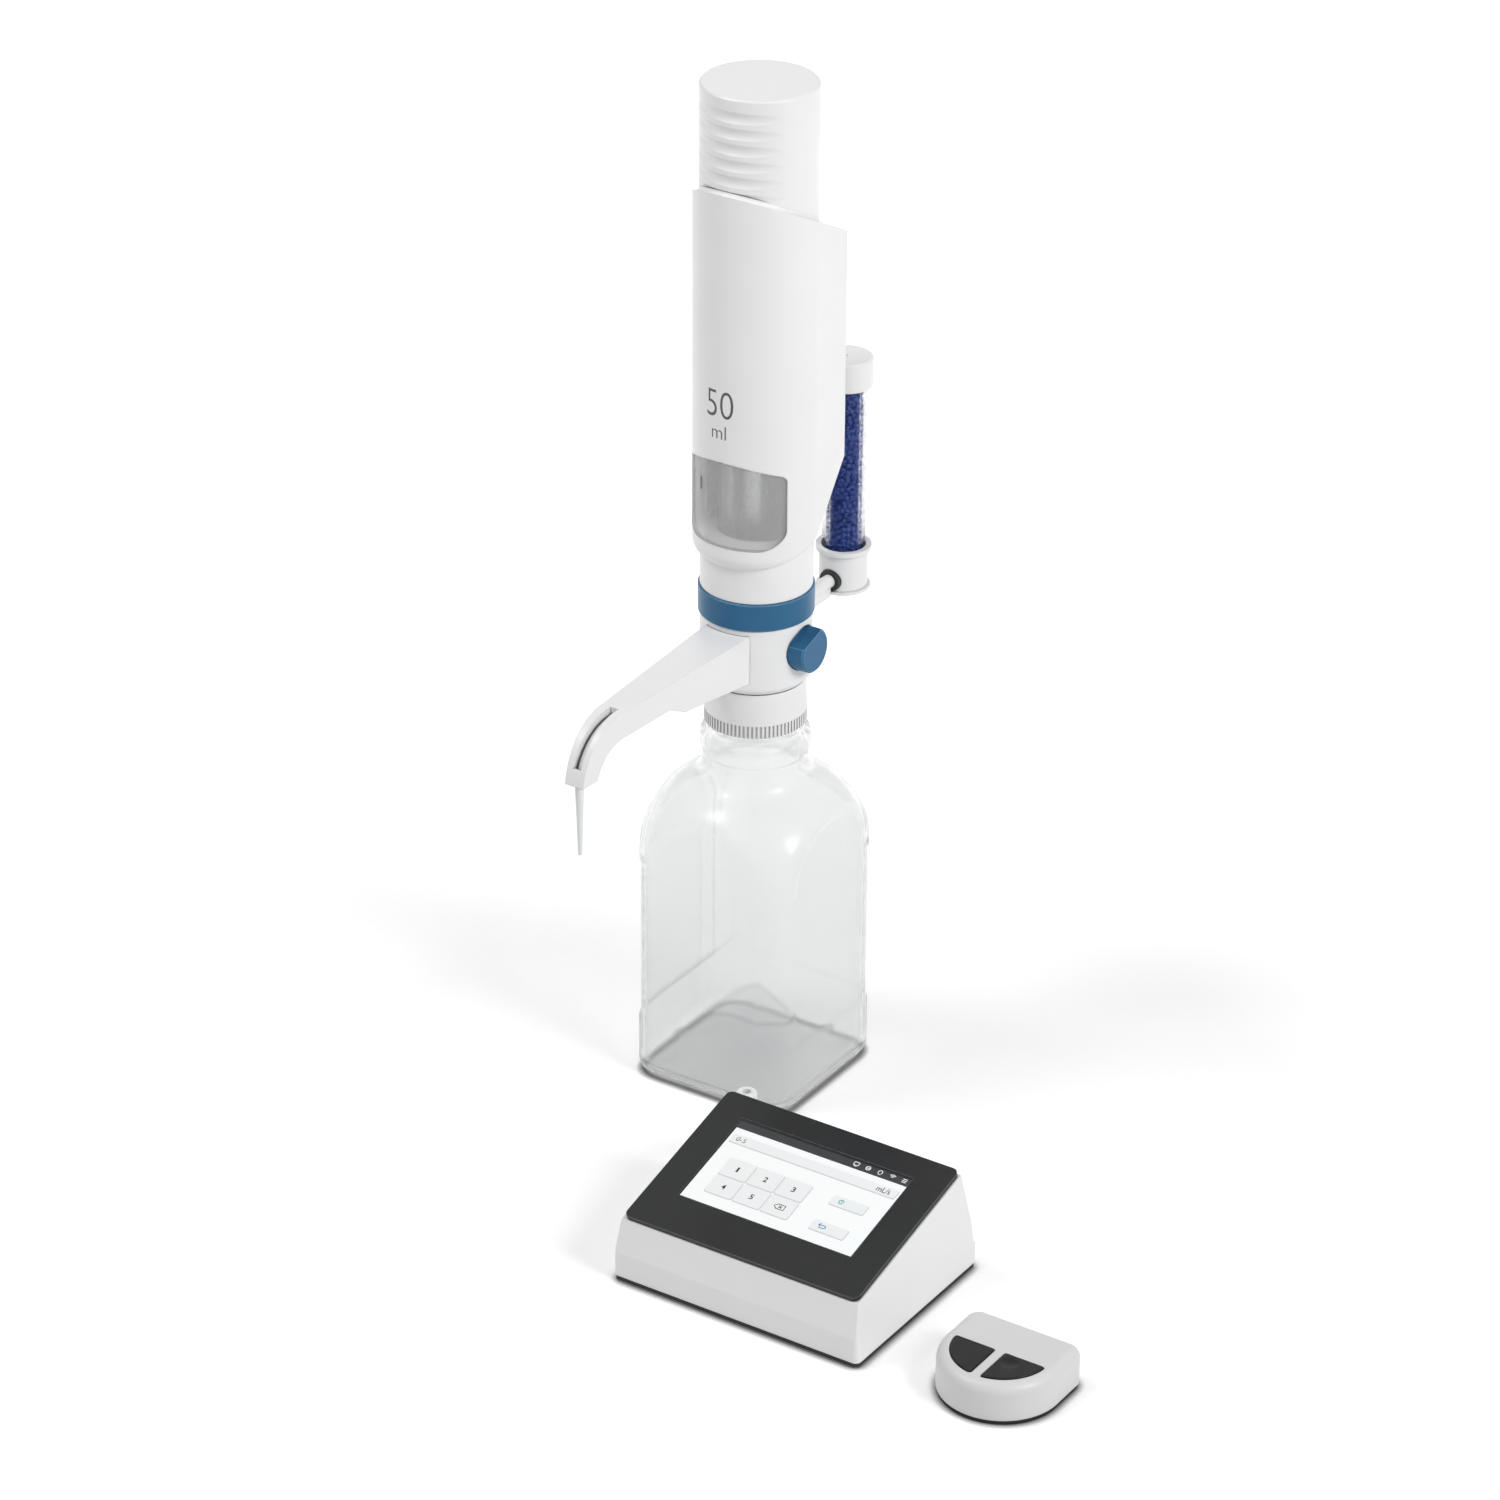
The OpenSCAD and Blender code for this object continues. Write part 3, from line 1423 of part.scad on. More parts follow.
bottle();
neck_gasket();
adapter_collar();
valve_block();
suction_nipple();
intake_valve();
intake_ball();
discharge_ball();
valve_spindle();
valve_knob();
discharge_arm();
discharge_tube();
nozzle_tip();
vent_pipe();
port_ring();
drying_cup();
drying_tube();
desiccant();
drying_cap();
locking_ring();
column_sleeve();
cylinder_seal();
glass_cylinder();
cylinder_clamp();
piston();
piston_seals();
piston_rod();
drive_nut();
lead_screw();
guide_rods();
bearing_plate();
screw_bearing();
motor_coupling();
motor_shaft();
drive_motor();
motor_plate();
plate_spacers();
housing_shell();
window_shield();
rear_cover();
cover_screws();
head_socket();
main_board();
top_cap();
controller_housing();
controller_base();
controller_feet();
front_panel();
touch_screen();
controller_board();
link_post();
power_socket();
switch_housing();
switch_base();
left_button();
right_button();
switch_board();
tactile_switches();
base_screws();
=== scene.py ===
import json
import math

import bmesh
import bpy
from mathutils import Matrix, Vector


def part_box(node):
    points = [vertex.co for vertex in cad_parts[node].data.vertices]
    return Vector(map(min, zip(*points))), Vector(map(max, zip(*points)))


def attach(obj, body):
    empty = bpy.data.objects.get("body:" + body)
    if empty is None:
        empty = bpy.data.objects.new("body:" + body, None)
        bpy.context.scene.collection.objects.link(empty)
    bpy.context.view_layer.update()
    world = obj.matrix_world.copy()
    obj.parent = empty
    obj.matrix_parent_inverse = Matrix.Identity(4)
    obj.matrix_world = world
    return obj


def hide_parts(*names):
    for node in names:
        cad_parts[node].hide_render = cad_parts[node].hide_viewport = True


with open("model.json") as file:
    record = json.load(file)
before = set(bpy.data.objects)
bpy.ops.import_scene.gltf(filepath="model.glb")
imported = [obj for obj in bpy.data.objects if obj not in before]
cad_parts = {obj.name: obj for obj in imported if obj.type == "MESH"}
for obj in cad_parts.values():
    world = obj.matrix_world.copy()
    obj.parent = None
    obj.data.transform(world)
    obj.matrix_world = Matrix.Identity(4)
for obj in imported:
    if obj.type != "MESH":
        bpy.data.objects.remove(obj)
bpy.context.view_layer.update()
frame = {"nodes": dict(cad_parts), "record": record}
nodes = frame["nodes"]
print("frame loaded:", len(nodes), "nodes")

mm = 0.001


def boxOf(node):
    # lowest and highest corner of a piece at rest, in mm to the nearest hundredth
    return [[round(c / mm, 2) for c in corner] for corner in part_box(node)]


def newObject(name, data):
    made = bpy.data.objects.new(name, data)
    bpy.context.scene.collection.objects.link(made)
    return made


# Camera

cameraSizes = {
    "place": (1.27170, -1.94860, 1.39780),  # metres from the middle of the bottle's foot
    "azimuth": 33.193,  # degrees round to the right of the front
    "down": 27.687,  # degrees below the horizon
    "roll": 0.369,
    "lens": 127.92, "sensor": 36,  # mm
    "clip": (0.05, 60),
}


def outward(azimuth, elevation):
    # direction towards a place given in degrees round from the front and above the floor
    a, e = math.radians(azimuth), math.radians(elevation)
    return Vector((math.sin(a) * math.cos(e), -math.cos(a) * math.cos(e), math.sin(e)))


def makeCamera(s):
    back = outward(s["azimuth"], s["down"])
    right = outward(s["azimuth"] + 90, 0)
    turned = Matrix((right, back.cross(right), back)).transposed()
    turned = turned @ Matrix.Rotation(math.radians(s["roll"]), 3, "Z")
    data = bpy.data.cameras.new("studioCamera")
    data.lens, data.sensor_width = s["lens"], s["sensor"]
    data.clip_start, data.clip_end = s["clip"]
    camera = newObject("studioCamera", data)
    camera.matrix_world = Matrix.LocRotScale(Vector(s["place"]), turned.to_quaternion(), None)
    bpy.context.scene.camera = camera


makeCamera(cameraSizes)
bpy.context.scene.view_settings.view_transform = "Standard"


# Nodes that every material shares


def toLinear(hexColour):
    rgb = [int(hexColour[i:i + 2], 16) / 255 for i in (1, 3, 5)]
    return [c / 12.92 if c <= 0.04045 else ((c + 0.055) / 1.055) ** 2.4 for c in rgb] + [1]


def addNode(tree, kind, settings=None, links=None):
    # capitals and numbers name an input, small letters a setting of the node
    node = tree.nodes.new(kind)
    for key, value in (settings or {}).items():
        if isinstance(key, int) or key[0].isupper():
            node.inputs[key].default_value = value
        else:
            setattr(node, key, value)
    for key, source in (links or {}).items():
        tree.links.new(source, node.inputs[key])
    return node


def newMaterial(name):
    material = bpy.data.materials.new(name)
    material.use_nodes = True
    material.node_tree.nodes.clear()
    return material, material.node_tree


def finishMaterial(tree, shader):
    addNode(tree, "ShaderNodeOutputMaterial", {}, {"Surface": shader.outputs[0]})


def mixColour(tree, factor, first, second):
    settings = {"data_type": "RGBA"}
    links = {0: factor}
    for key, colour in ((6, first), (7, second)):
        if isinstance(colour, str):
            settings[key] = toLinear(colour)
        else:
            links[key] = colour
    return addNode(tree, "ShaderNodeMix", settings, links).outputs[2]


def remap(tree, value, start, end):
    settings = {"From Min": start[0], "From Max": start[1], "To Min": end[0], "To Max": end[1]}
    return addNode(tree, "ShaderNodeMapRange", settings, {"Value": value}).outputs["Result"]


def noise(tree, size, detail):
    # a pattern in mm that stays fixed to the piece
    place = addNode(tree, "ShaderNodeTexCoord").outputs["Object"]
    settings = {"Scale": 1 / (size * mm), "Detail": detail}
    return addNode(tree, "ShaderNodeTexNoise", settings, {"Vector": place}).outputs["Fac"]


def shownStraight(tree):
    # 1 where the camera looks at it directly, in a reflection or through a clear wall
    path = addNode(tree, "ShaderNodeLightPath")
    seen = path.outputs["Is Camera Ray"]
    for other in ("Is Glossy Ray", "Is Transmission Ray"):
        links = {0: seen, 1: path.outputs[other]}
        seen = addNode(tree, "ShaderNodeMath", {"operation": "MAXIMUM"}, links).outputs[0]
    return seen


# Room

roomSizes = {
    "floorHalf": 6.0,
    "skyLevel": 0.40,
    "floorWhite": "#F4F4F4",
    "middle": (0.08, -0.06, 0.2),  # metres, what the lamps point at
    # painted contact shadow: how far the dark line reaches where something stands on the floor
    "paintedShadowReach": 5.5,  # mm, reach of the dark line where something stands on the floor
    # share of open sky over the floor and the grey of the painted contact shadow there: some light comes
    # through the clear bottle
    "paintedShadowGreys": (
        (0.0, "#CECECE"), (0.14, "#C0C0C0"), (0.3, "#1C1C1C"), (0.5, "#8E8E8E"), (0.9, "#FFFFFF"),
    ),
    # metres from the middle, and the floor's own light there
    "glowReach": (0.25, 0.90), "glow": (0.26, 0.85),
    "lamps": {
        # name: azimuth, elevation, distance, side of the square lamp, watts
        "keyLamp": (84, 36, 2.4, 0.8, 27),
        "leftLamp": (-52, 58, 2.4, 0.8, 17),
    },
}


def makeSky(s):
    world = bpy.data.worlds.new("studioRoom")
    world.use_nodes = True
    tree = world.node_tree
    tree.nodes.clear()
    seen = shownStraight(tree)
    lighting = addNode(tree, "ShaderNodeBackground", {"Color": (1, 1, 1, 1), "Strength": s["skyLevel"]})
    shown = addNode(tree, "ShaderNodeBackground", {"Color": (1, 1, 1, 1), "Strength": 1.0})
    both = addNode(tree, "ShaderNodeMixShader", {}, {0: seen, 1: lighting.outputs[0], 2: shown.outputs[0]})
    addNode(tree, "ShaderNodeOutputWorld", {}, {"Surface": both.outputs[0]})
    bpy.context.scene.world = world


def floorMaterial(s):
    # smooth laminate sweep: a matt white that keeps a soft shadow, with a painted contact shadow darkening
    # it where things stand
    material, tree = newMaterial("whiteLaminateFloor")
    seen = shownStraight(tree)
    # painted contact shadow: colour and glow go dark where little open sky reaches the floor
    sky = addNode(tree, "ShaderNodeAmbientOcclusion", {"samples": 8, "Distance": s["paintedShadowReach"] * mm})
    dark = addNode(tree, "ShaderNodeValToRGB", {}, {"Fac": sky.outputs["AO"]})
    ramp = dark.color_ramp.elements
    for i, (share, grey) in enumerate(s["paintedShadowGreys"]):
        stop = ramp[i] if i < len(ramp) else ramp.new(share)
        stop.position, stop.color = share, toLinear(grey)
    white = mixColour(tree, dark.outputs[0], "#000000", s["floorWhite"])
    matt = addNode(tree, "ShaderNodeBsdfDiffuse", {}, {"Color": white})
    place = addNode(tree, "ShaderNodeTexCoord").outputs["Object"]
    away = addNode(tree, "ShaderNodeVectorMath",
                   {"operation": "DISTANCE", 1: (*s["middle"][:2], 0)}, {0: place})
    level = addNode(tree, "ShaderNodeMath", {"operation": "MULTIPLY"},
                    {0: remap(tree, away.outputs["Value"], s["glowReach"], s["glow"]), 1: dark.outputs[0]})
    glow = addNode(tree, "ShaderNodeEmission", {"Color": (1, 1, 1, 1)}, {"Strength": level.outputs[0]})
    shown = addNode(tree, "ShaderNodeAddShader", {}, {0: matt.outputs[0], 1: glow.outputs[0]})
    finishMaterial(tree, addNode(tree, "ShaderNodeMixShader", {},
                                 {0: seen, 1: matt.outputs[0], 2: shown.outputs[0]}))
    return material


def makeFloor(s):
    half = s["floorHalf"]
    mesh = bpy.data.meshes.new("studioFloor")
    mesh.from_pydata([(-half, -half, 0), (half, -half, 0), (half, half, 0), (-half, half, 0)],
                     [], [(0, 1, 2, 3)])
    mesh.materials.append(floorMaterial(s))
    floor = newObject("studioFloor", mesh)


def makeLamps(s):
    for name, (azimuth, elevation, distance, side, watts) in s["lamps"].items():
        away = outward(azimuth, elevation)
        data = bpy.data.lights.new(name, "AREA")
        data.shape, data.size, data.energy = "SQUARE", side, watts
        lamp = newObject(name, data)
        place = Vector(s["middle"]) + away * distance
        lamp.matrix_world = Matrix.LocRotScale(place, away.to_track_quat("Z", "Y"), None)


makeSky(roomSizes)
makeFloor(roomSizes)
makeLamps(roomSizes)
print("camera, floor and lamps made")


# Materials

surfaceSizes = {
    "grainLift": 0.02, "flowLift": 0.05,  # mm, height of the grain and of the waves in a clear wall
    # how far into a seam the painted shade reaches, and the open sky at which it is full and at which it is
    # gone
    "creaseReach": 1.3,  # mm
    "creaseOpen": (0.3, 0.8),  # shares of open sky, from full shade to none
    # where the edge colour, wear and painted highlight, starts and where it is full
    "bend": (1.0, 0.86),  # cosines between a flat place and a fully worn edge
    "noiseSpan": (0.3, 0.7),  # part of the noise that is spread over the roughness
    "roughSpread": 0.04, "clearSpread": 0.03, "clearCoatRough": 0.22,
    "rimBlend": 0.35,
}


def softEdge(tree, radius, s):
    # the small rounding that every moulded or broken edge has, and a mask of where it is, which carries the
    # edge colour: wear and a painted highlight
    bevel = addNode(tree, "ShaderNodeBevel", {"samples": 6, "Radius": radius * mm})
    flat = addNode(tree, "ShaderNodeNewGeometry")
    same = addNode(tree, "ShaderNodeVectorMath", {"operation": "DOT_PRODUCT"},
                   {0: bevel.outputs[0], 1: flat.outputs["Normal"]})
    return bevel, remap(tree, same.outputs["Value"], s["bend"], (0.0, 1.0))


def mouldedMaterial(name, look, s):
    material, tree = newMaterial(name)
    cloud = noise(tree, look["cloud"], detail=3.0)
    grain = noise(tree, look["grain"], detail=2.0)
    bevel, edge = softEdge(tree, look["edge"], s)
    colour = mixColour(tree, cloud, look["colour"], look["shade"])
    # rounded edges take the lighter edge colour: wear and a painted highlight
    colour = mixColour(tree, edge, colour, look["edgeWearAndHighlight"])
    if "crease" in look:
        # painted shade: seams and narrow grooves take a darker colour where little open sky reaches them
        hollow = addNode(tree, "ShaderNodeAmbientOcclusion",
                         {"samples": 6, "Distance": s["creaseReach"] * mm})
        depth = remap(tree, hollow.outputs["AO"], s["creaseOpen"], (1.0, 0.0))
        colour = mixColour(tree, depth, colour, look["crease"])
    spread = s["roughSpread"]
    rough = remap(tree, cloud, s["noiseSpan"], (look["rough"] - spread, look["rough"] + spread))
    bump = addNode(tree, "ShaderNodeBump", {"Strength": look["bump"], "Distance": s["grainLift"] * mm},
                   {"Height": grain, "Normal": bevel.outputs[0]})
    settings = {"IOR": look["ior"], "Metallic": look.get("metal", 0.0),
                "Specular IOR Level": look.get("gloss", 0.5)}
    if "glow" in look:
        settings["Emission Color"] = toLinear(look["colour"])
        settings["Emission Strength"] = look["glow"]
    finishMaterial(tree, addNode(tree, "ShaderNodeBsdfPrincipled", settings,
                                 {"Base Color": colour, "Roughness": rough, "Normal": bump.outputs[0]}))
    return material


def clearMaterial(name, look, s):
    material, tree = newMaterial(name)
    flow = noise(tree, look["flow"], detail=1.0)
    rough = remap(tree, flow, s["noiseSpan"], (look["rough"], look["rough"] + s["clearSpread"]))
    bump = addNode(tree, "ShaderNodeBump", {"Strength": look["bump"], "Distance": s["flowLift"] * mm},
                   {"Height": flow})
    # a wall seen along its own face holds more plastic, so it shows more
    slant = addNode(tree, "ShaderNodeLayerWeight", {"Blend": s["rimBlend"]})
    body = remap(tree, slant.outputs["Facing"], (0.0, 1.0), (look["alpha"], look["rimAlpha"]))
    settings = {"IOR": look["ior"], "Transmission Weight": look["clear"],
                "Coat Weight": look.get("coat", 0.0), "Coat Roughness": s["clearCoatRough"]}
    links = {"Base Color": mixColour(tree, flow, look["colour"], look["shade"]), "Roughness": rough,
             "Normal": bump.outputs[0], "Alpha": body}
    finishMaterial(tree, addNode(tree, "ShaderNodeBsdfPrincipled", settings, links))
    return material


def litLook(colour, shade, **more):
    # one even layer of the lit picture, seen through the display glass
    return {"colour": colour, "shade": shade, "edgeWearAndHighlight": colour, "cloud": 40, "grain": 2, "bump": 0.0,
            "rough": 0.5, "edge": 0.01, "ior": 1.45, "gloss": 0.2, **more}


# each look's edge colour is lighter than its body: wear together with a painted highlight along rounded
# edges
solidLooks = {
    # satin ABS, moulded: faint grain and softly broken edges
    "white_plastic": ("satinWhiteAbs", {
        # the crease colour is painted shade for seams and grooves
        "colour": "#F0F0F0", "shade": "#ECECED", "edgeWearAndHighlight": "#F4F4F4", "crease": "#9C9C9E",
        "cloud": 30, "grain": 0.5, "bump": 0.12, "rough": 0.34, "edge": 0.7, "ior": 1.5,
    }),
    # pigmented polypropylene, moulded: deep blue with a satin sheen
    "blue_plastic": ("bluePolypropylene", {
        # the pale edge colour is mostly a painted highlight
        "colour": "#30688F", "shade": "#2D648A", "edgeWearAndHighlight": "#86B4D4",
        "cloud": 14, "grain": 0.5, "bump": 0.08, "rough": 0.34, "edge": 0.7, "ior": 1.42, "gloss": 0.25,
    }),
    # spark-eroded ABS, light grey
    "grey_plastic": ("lightGreyAbs", {
        "colour": "#DADADA", "shade": "#D6D6D7", "edgeWearAndHighlight": "#E2E2E2",
        "cloud": 20, "grain": 0.5, "bump": 0.2, "rough": 0.42, "edge": 0.6, "ior": 1.5,
    }),
    # black nylon of sockets and small mouldings
    "black_plastic": ("blackNylon", {
        "colour": "#17181A", "shade": "#1D1E20", "edgeWearAndHighlight": "#2C2D2F",
        "cloud": 9, "grain": 0.5, "bump": 0.3, "rough": 0.5, "edge": 0.4, "ior": 1.5,
    }),
    # ABS button with a soft-touch coat
    "dark_button": ("softTouchButton", {
        # the pale edge colour is mostly a painted highlight
        "colour": "#1A1A1B", "shade": "#171718", "edgeWearAndHighlight": "#6E6E6E",
        "cloud": 6, "grain": 0.4, "bump": 0.2, "rough": 0.42, "edge": 0.4, "ior": 1.45, "gloss": 0.26,
    }),
    # cover glass printed dark from behind
    "dark_glass": ("printedCoverGlass", {
        # the pale edge colour is mostly a painted highlight
        "colour": "#1E1F20", "shade": "#242526", "edgeWearAndHighlight": "#6A6C6E",
        "cloud": 40, "grain": 2.0, "bump": 0.02, "rough": 0.22, "edge": 0.45, "ior": 1.45, "gloss": 0.36,
    }),
    # display glass, dark where no picture lights it
    "display": ("displayGlass", {
        "colour": "#1E1F21", "shade": "#212224", "edgeWearAndHighlight": "#2A2B2D",
        "cloud": 30, "grain": 2.0, "bump": 0.02, "rough": 0.2, "edge": 0.2, "ior": 1.5, "gloss": 0.4,
    }),
    # turned and moulded PTFE
    "fluoropolymer": ("turnedPtfe", {
        "colour": "#EDEEEE", "shade": "#E6E8E9", "edgeWearAndHighlight": "#F6F6F6",
        "cloud": 7, "grain": 0.4, "bump": 0.2, "rough": 0.4, "edge": 0.3, "ior": 1.38,
    }),
    # silica gel beads dyed blue with cobalt, as they are when dry
    "silica": ("cobaltSilicaGel", {
        "colour": "#172D70", "shade": "#203C84", "edgeWearAndHighlight": "#38589F",
        "cloud": 3.2, "grain": 0.9, "bump": 0.15, "rough": 0.3, "edge": 0.3, "ior": 1.4, "gloss": 0.4,
    }),
    # black nitrile seals and feet
    "rubber": ("blackNitrile", {
        "colour": "#1B1B1C", "shade": "#222223", "edgeWearAndHighlight": "#2E2E30",
        "cloud": 6, "grain": 0.5, "bump": 0.35, "rough": 0.65, "edge": 0.3, "ior": 1.5,
    }),
    # ground stainless steel of rods, screws and balls
    "steel": ("groundStainlessSteel", {
        "colour": "#C4C6C8", "shade": "#B4B6BA", "edgeWearAndHighlight": "#E2E3E4",
        "cloud": 3, "grain": 0.25, "bump": 0.15, "rough": 0.26, "edge": 0.2, "ior": 1.5, "metal": 1.0,
    }),
    # machined aluminium, clear anodised
    "aluminium": ("anodisedAluminium", {
        "colour": "#CBCCCE", "shade": "#C2C4C6", "edgeWearAndHighlight": "#E6E7E8",
        "cloud": 12, "grain": 0.3, "bump": 0.2, "rough": 0.36, "edge": 0.3, "ior": 1.5, "metal": 1.0,
    }),
    # machined brass of the drive nut
    "brass": ("machinedBrass", {
        "colour": "#C9A35A", "shade": "#B98F45", "edgeWearAndHighlight": "#E0C27E",
        "cloud": 6, "grain": 0.3, "bump": 0.2, "rough": 0.28, "edge": 0.2, "ior": 1.5, "metal": 1.0,
    }),
    # black powder coat on the motor's steel can
    "motor_black": ("powderCoatedSteel", {
        "colour": "#1C1D1F", "shade": "#242527", "edgeWearAndHighlight": "#3A3B3D",
        "cloud": 10, "grain": 0.5, "bump": 0.4, "rough": 0.45, "edge": 0.4, "ior": 1.5,
    }),
    # glass fibre board under green solder mask
    "circuit": ("solderMaskBoard", {
        "colour": "#0F5A33", "shade": "#146B3C", "edgeWearAndHighlight": "#B9A24B",
        "cloud": 5, "grain": 1.2, "bump": 0.3, "rough": 0.32, "edge": 0.1, "ior": 1.5,
    }),
    # pad-printed lettering ink
    "dark_print": ("padPrintingInk", {
        "colour": "#4A4A4B", "shade": "#4E4E50", "edgeWearAndHighlight": "#58585A",
        "cloud": 3, "grain": 0.3, "bump": 0.1, "rough": 0.5, "edge": 0.02, "ior": 1.5,
    }),
    # bead blue made a little darker as painted shade: a core standing for the beads behind the outer layer,
    # seen only through gaps
    "silica_core": ("innerBeadsInShade", {
        "colour": "#13256A", "shade": "#172B72", "edgeWearAndHighlight": "#1B3078",
        "cloud": 2, "grain": 0.8, "bump": 0.5, "rough": 0.6, "edge": 0.2, "ior": 1.46,
    }),
    # layers of the lit picture
    "screen_page": ("litDisplayWhite", litLook("#F6F8F8", "#F4F7F7", glow=0.11)),
    "screen_bar": ("litDisplayBlack", litLook("#2E2F31", "#303133", rough=0.3, ior=1.5, gloss=0.5)),
    "screen_shade": ("litDisplayShade", litLook("#D0D4D6", "#CDD2D4")),
    "screen_key": ("litDisplayPale", litLook("#F2F4F4", "#F0F3F3", glow=0.04)),
    "screen_ink": ("litDisplayGrey", litLook("#26282A", "#2A2C2E")),
    "screen_sign": ("litDisplaySigns",
                    litLook("#E6E8E9", "#E2E4E5", rough=0.3, ior=1.5, gloss=0.5, glow=0.2)),
    "screen_blue": ("litDisplayBlue", litLook("#2E78B8", "#337CBA")),
    "screen_teal": ("litDisplayTeal", litLook("#2C9795", "#319A98")),
}

clearLooks = {
    # blown bottle, faintly milky and a little wavy
    "clear_bottle": ("blownClearBottle", {
        "colour": "#EFF0F0", "shade": "#EBECEC", "flow": 22, "bump": 0.12, "rough": 0.04, "ior": 1.11,
        "clear": 0.84, "alpha": 0.5, "rimAlpha": 0.88, "coat": 0.5,
    }),
    # injection-moulded clear polycarbonate
    "clear_plastic": ("clearPolycarbonate", {
        "colour": "#F6F6F6", "shade": "#F1F1F1", "flow": 16, "bump": 0.05, "rough": 0.03, "ior": 1.22,
        "clear": 1.0, "alpha": 0.24, "rimAlpha": 0.65,
    }),
    # the same polycarbonate with a fine matt bloom, as the window has
    "window_plastic": ("bloomedPolycarbonate", {
        "colour": "#F4F4F4", "shade": "#EAEAEA", "flow": 9, "bump": 0.03, "rough": 0.05, "ior": 1.15,
        "clear": 0.3, "alpha": 0.32, "rimAlpha": 0.55,
    }),
    # drawn borosilicate tube
    "cylinder_glass": ("drawnBorosilicate", {
        "colour": "#F4F4F4", "shade": "#EEEEEE", "flow": 12, "bump": 0.05, "rough": 0.03, "ior": 1.3,
        "clear": 0.8, "alpha": 0.4, "rimAlpha": 0.95,
    }),
}

# finishes that belong to one of the record's own slots
recordSlot = {name: "display" for name in solidLooks if name.startswith("screen_")}
recordSlot.update({"dark_print": "black_plastic", "silica_core": "silica"})

finishes = {}
for make, looks in ((mouldedMaterial, solidLooks), (clearMaterial, clearLooks)):
    for slotName, (materialName, look) in looks.items():
        finishes[slotName] = make(materialName, look, surfaceSizes)

slotOf = {part["node"]: part["material_slot"] for part in frame["record"]["subparts"]}
slotOf["window_shield"] = "window_plastic"
for name, node in nodes.items():
    node.data.materials.clear()
    node.data.materials.append(finishes[slotOf[name]])
print("materials made:", len(finishes))


# Meshes


def newLoop(mesh, points):
    return [mesh.verts.new(Vector(point) * mm) for point in points]


def bridge(mesh, lower, upper):
    # faces look outwards where both loops run anticlockwise and the second lies above
    count = len(lower)
    for i in range(count):
        j = (i + 1) % count
        mesh.faces.new((lower[i], lower[j], upper[j], upper[i]))


def bridgeAll(mesh, levels):
    loops = [newLoop(mesh, points) for points in levels]
    for lower, upper in zip(loops, loops[1:]):
        bridge(mesh, lower, upper)
    return loops


def turnsOf(sides):
    return [2 * math.pi * i / sides for i in range(sides)]


def quarter(steps):
    return [math.pi / 2 * i / steps for i in range(steps + 1)]


def fillFlat(mesh, loops):
    # closes the flat space between an outer loop and any loops inside it
    edges = []
    for loop in loops:
        for i in range(len(loop)):
            edges.append(mesh.edges.get((loop[i - 1], loop[i])) or mesh.edges.new((loop[i - 1], loop[i])))
    bmesh.ops.triangle_fill(mesh, edges=edges, use_beauty=True, use_dissolve=False)


def closeMesh(mesh, name, sharpAngle=35):
    bmesh.ops.recalc_face_normals(mesh, faces=mesh.faces[:])
    for face in mesh.faces:
        face.smooth = True
    for edge in mesh.edges:
        edge.smooth = len(edge.link_faces) == 2 and edge.calc_face_angle(0) < math.radians(sharpAngle)
    data = bpy.data.meshes.new(name)
    mesh.to_mesh(data)
    mesh.free()
    return data


def addPiece(name, data, body, finish, replaced=()):
    data.materials.append(finishes[finish])
    piece = newObject(name, data)
    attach(piece, body)
    if replaced:
        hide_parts(*replaced)


def softStep(low, high, value):
    t = min(max((value - low) / (high - low), 0), 1)
    return t * t * (3 - 2 * t)


# Bottle

bottleTop = boxOf("bottle")[1]
bottleSizes = {
    "width": 2 * bottleTop[0], "cornerR": 13.5, "footR": 7.0, "wall": 2.4, "floor": 3.0,
    "kick": 1.6,  # how far the base is pushed up in its middle
    "kickShares": (0.94, 0.8, 0.6, 0.4, 0.2),
    "skirtTop": 33.0, "waist": 0.9, "panelDip": 0.5, "archR": 34.0, "archDrop": 4.7,
    "domeR": 47.0, "shoulderR": 59.3, "filletR": 10.0, "neckR": 26.2, "neckZ": bottleTop[2] - 36.5,
    "flare": 2.0, "flareRun": 10.0,  # how fast the shoulder's round limit opens below the dome
    "beadR": 27.4, "beadLow": 178.6, "beadTop": 191.5, "beadEdge": 3.0,
    "landR": 24.8, "landH": 2.0, "landEdge": 0.3,
    "threadR": 22.2, "mouth": bottleTop[2], "lipOut": 0.8, "lipIn": 0.6,
    "boreR": 18.8, "throatUp": 14.0, "throatH": 5.0,
    "blend": 3.2,  # width over which the square walls melt into the round shoulder
    "edgeSoft": 1.1,  # half width of the soft step round the label panels
    "sides": 256, "roundSteps": 6, "domeSteps": 30, "outerSteps": 62, "innerSteps": 40,
}


def squareRadius(angle, half, corner):
    # distance from the middle to a square with round corners, in a direction given in radians
    a = abs((angle + math.pi / 4) % (math.pi / 2) - math.pi / 4)
    c = half - corner
    if math.tan(a) <= c / half:
        return half / math.cos(a)
    along = c * (math.cos(a) + math.sin(a))
    return along + math.sqrt(along * along - 2 * c * c + corner * corner)


def softMin(a, b, width):
    h = max(width - abs(a - b), 0) / width
    return min(a, b) - h * h * width / 4


def shoulderZ(s):
    span = s["domeR"] + s["filletR"]
    run = s["neckR"] + s["filletR"] - s["shoulderR"] + s["domeR"]
    return s["neckZ"] - math.sqrt(span * span - run * run)


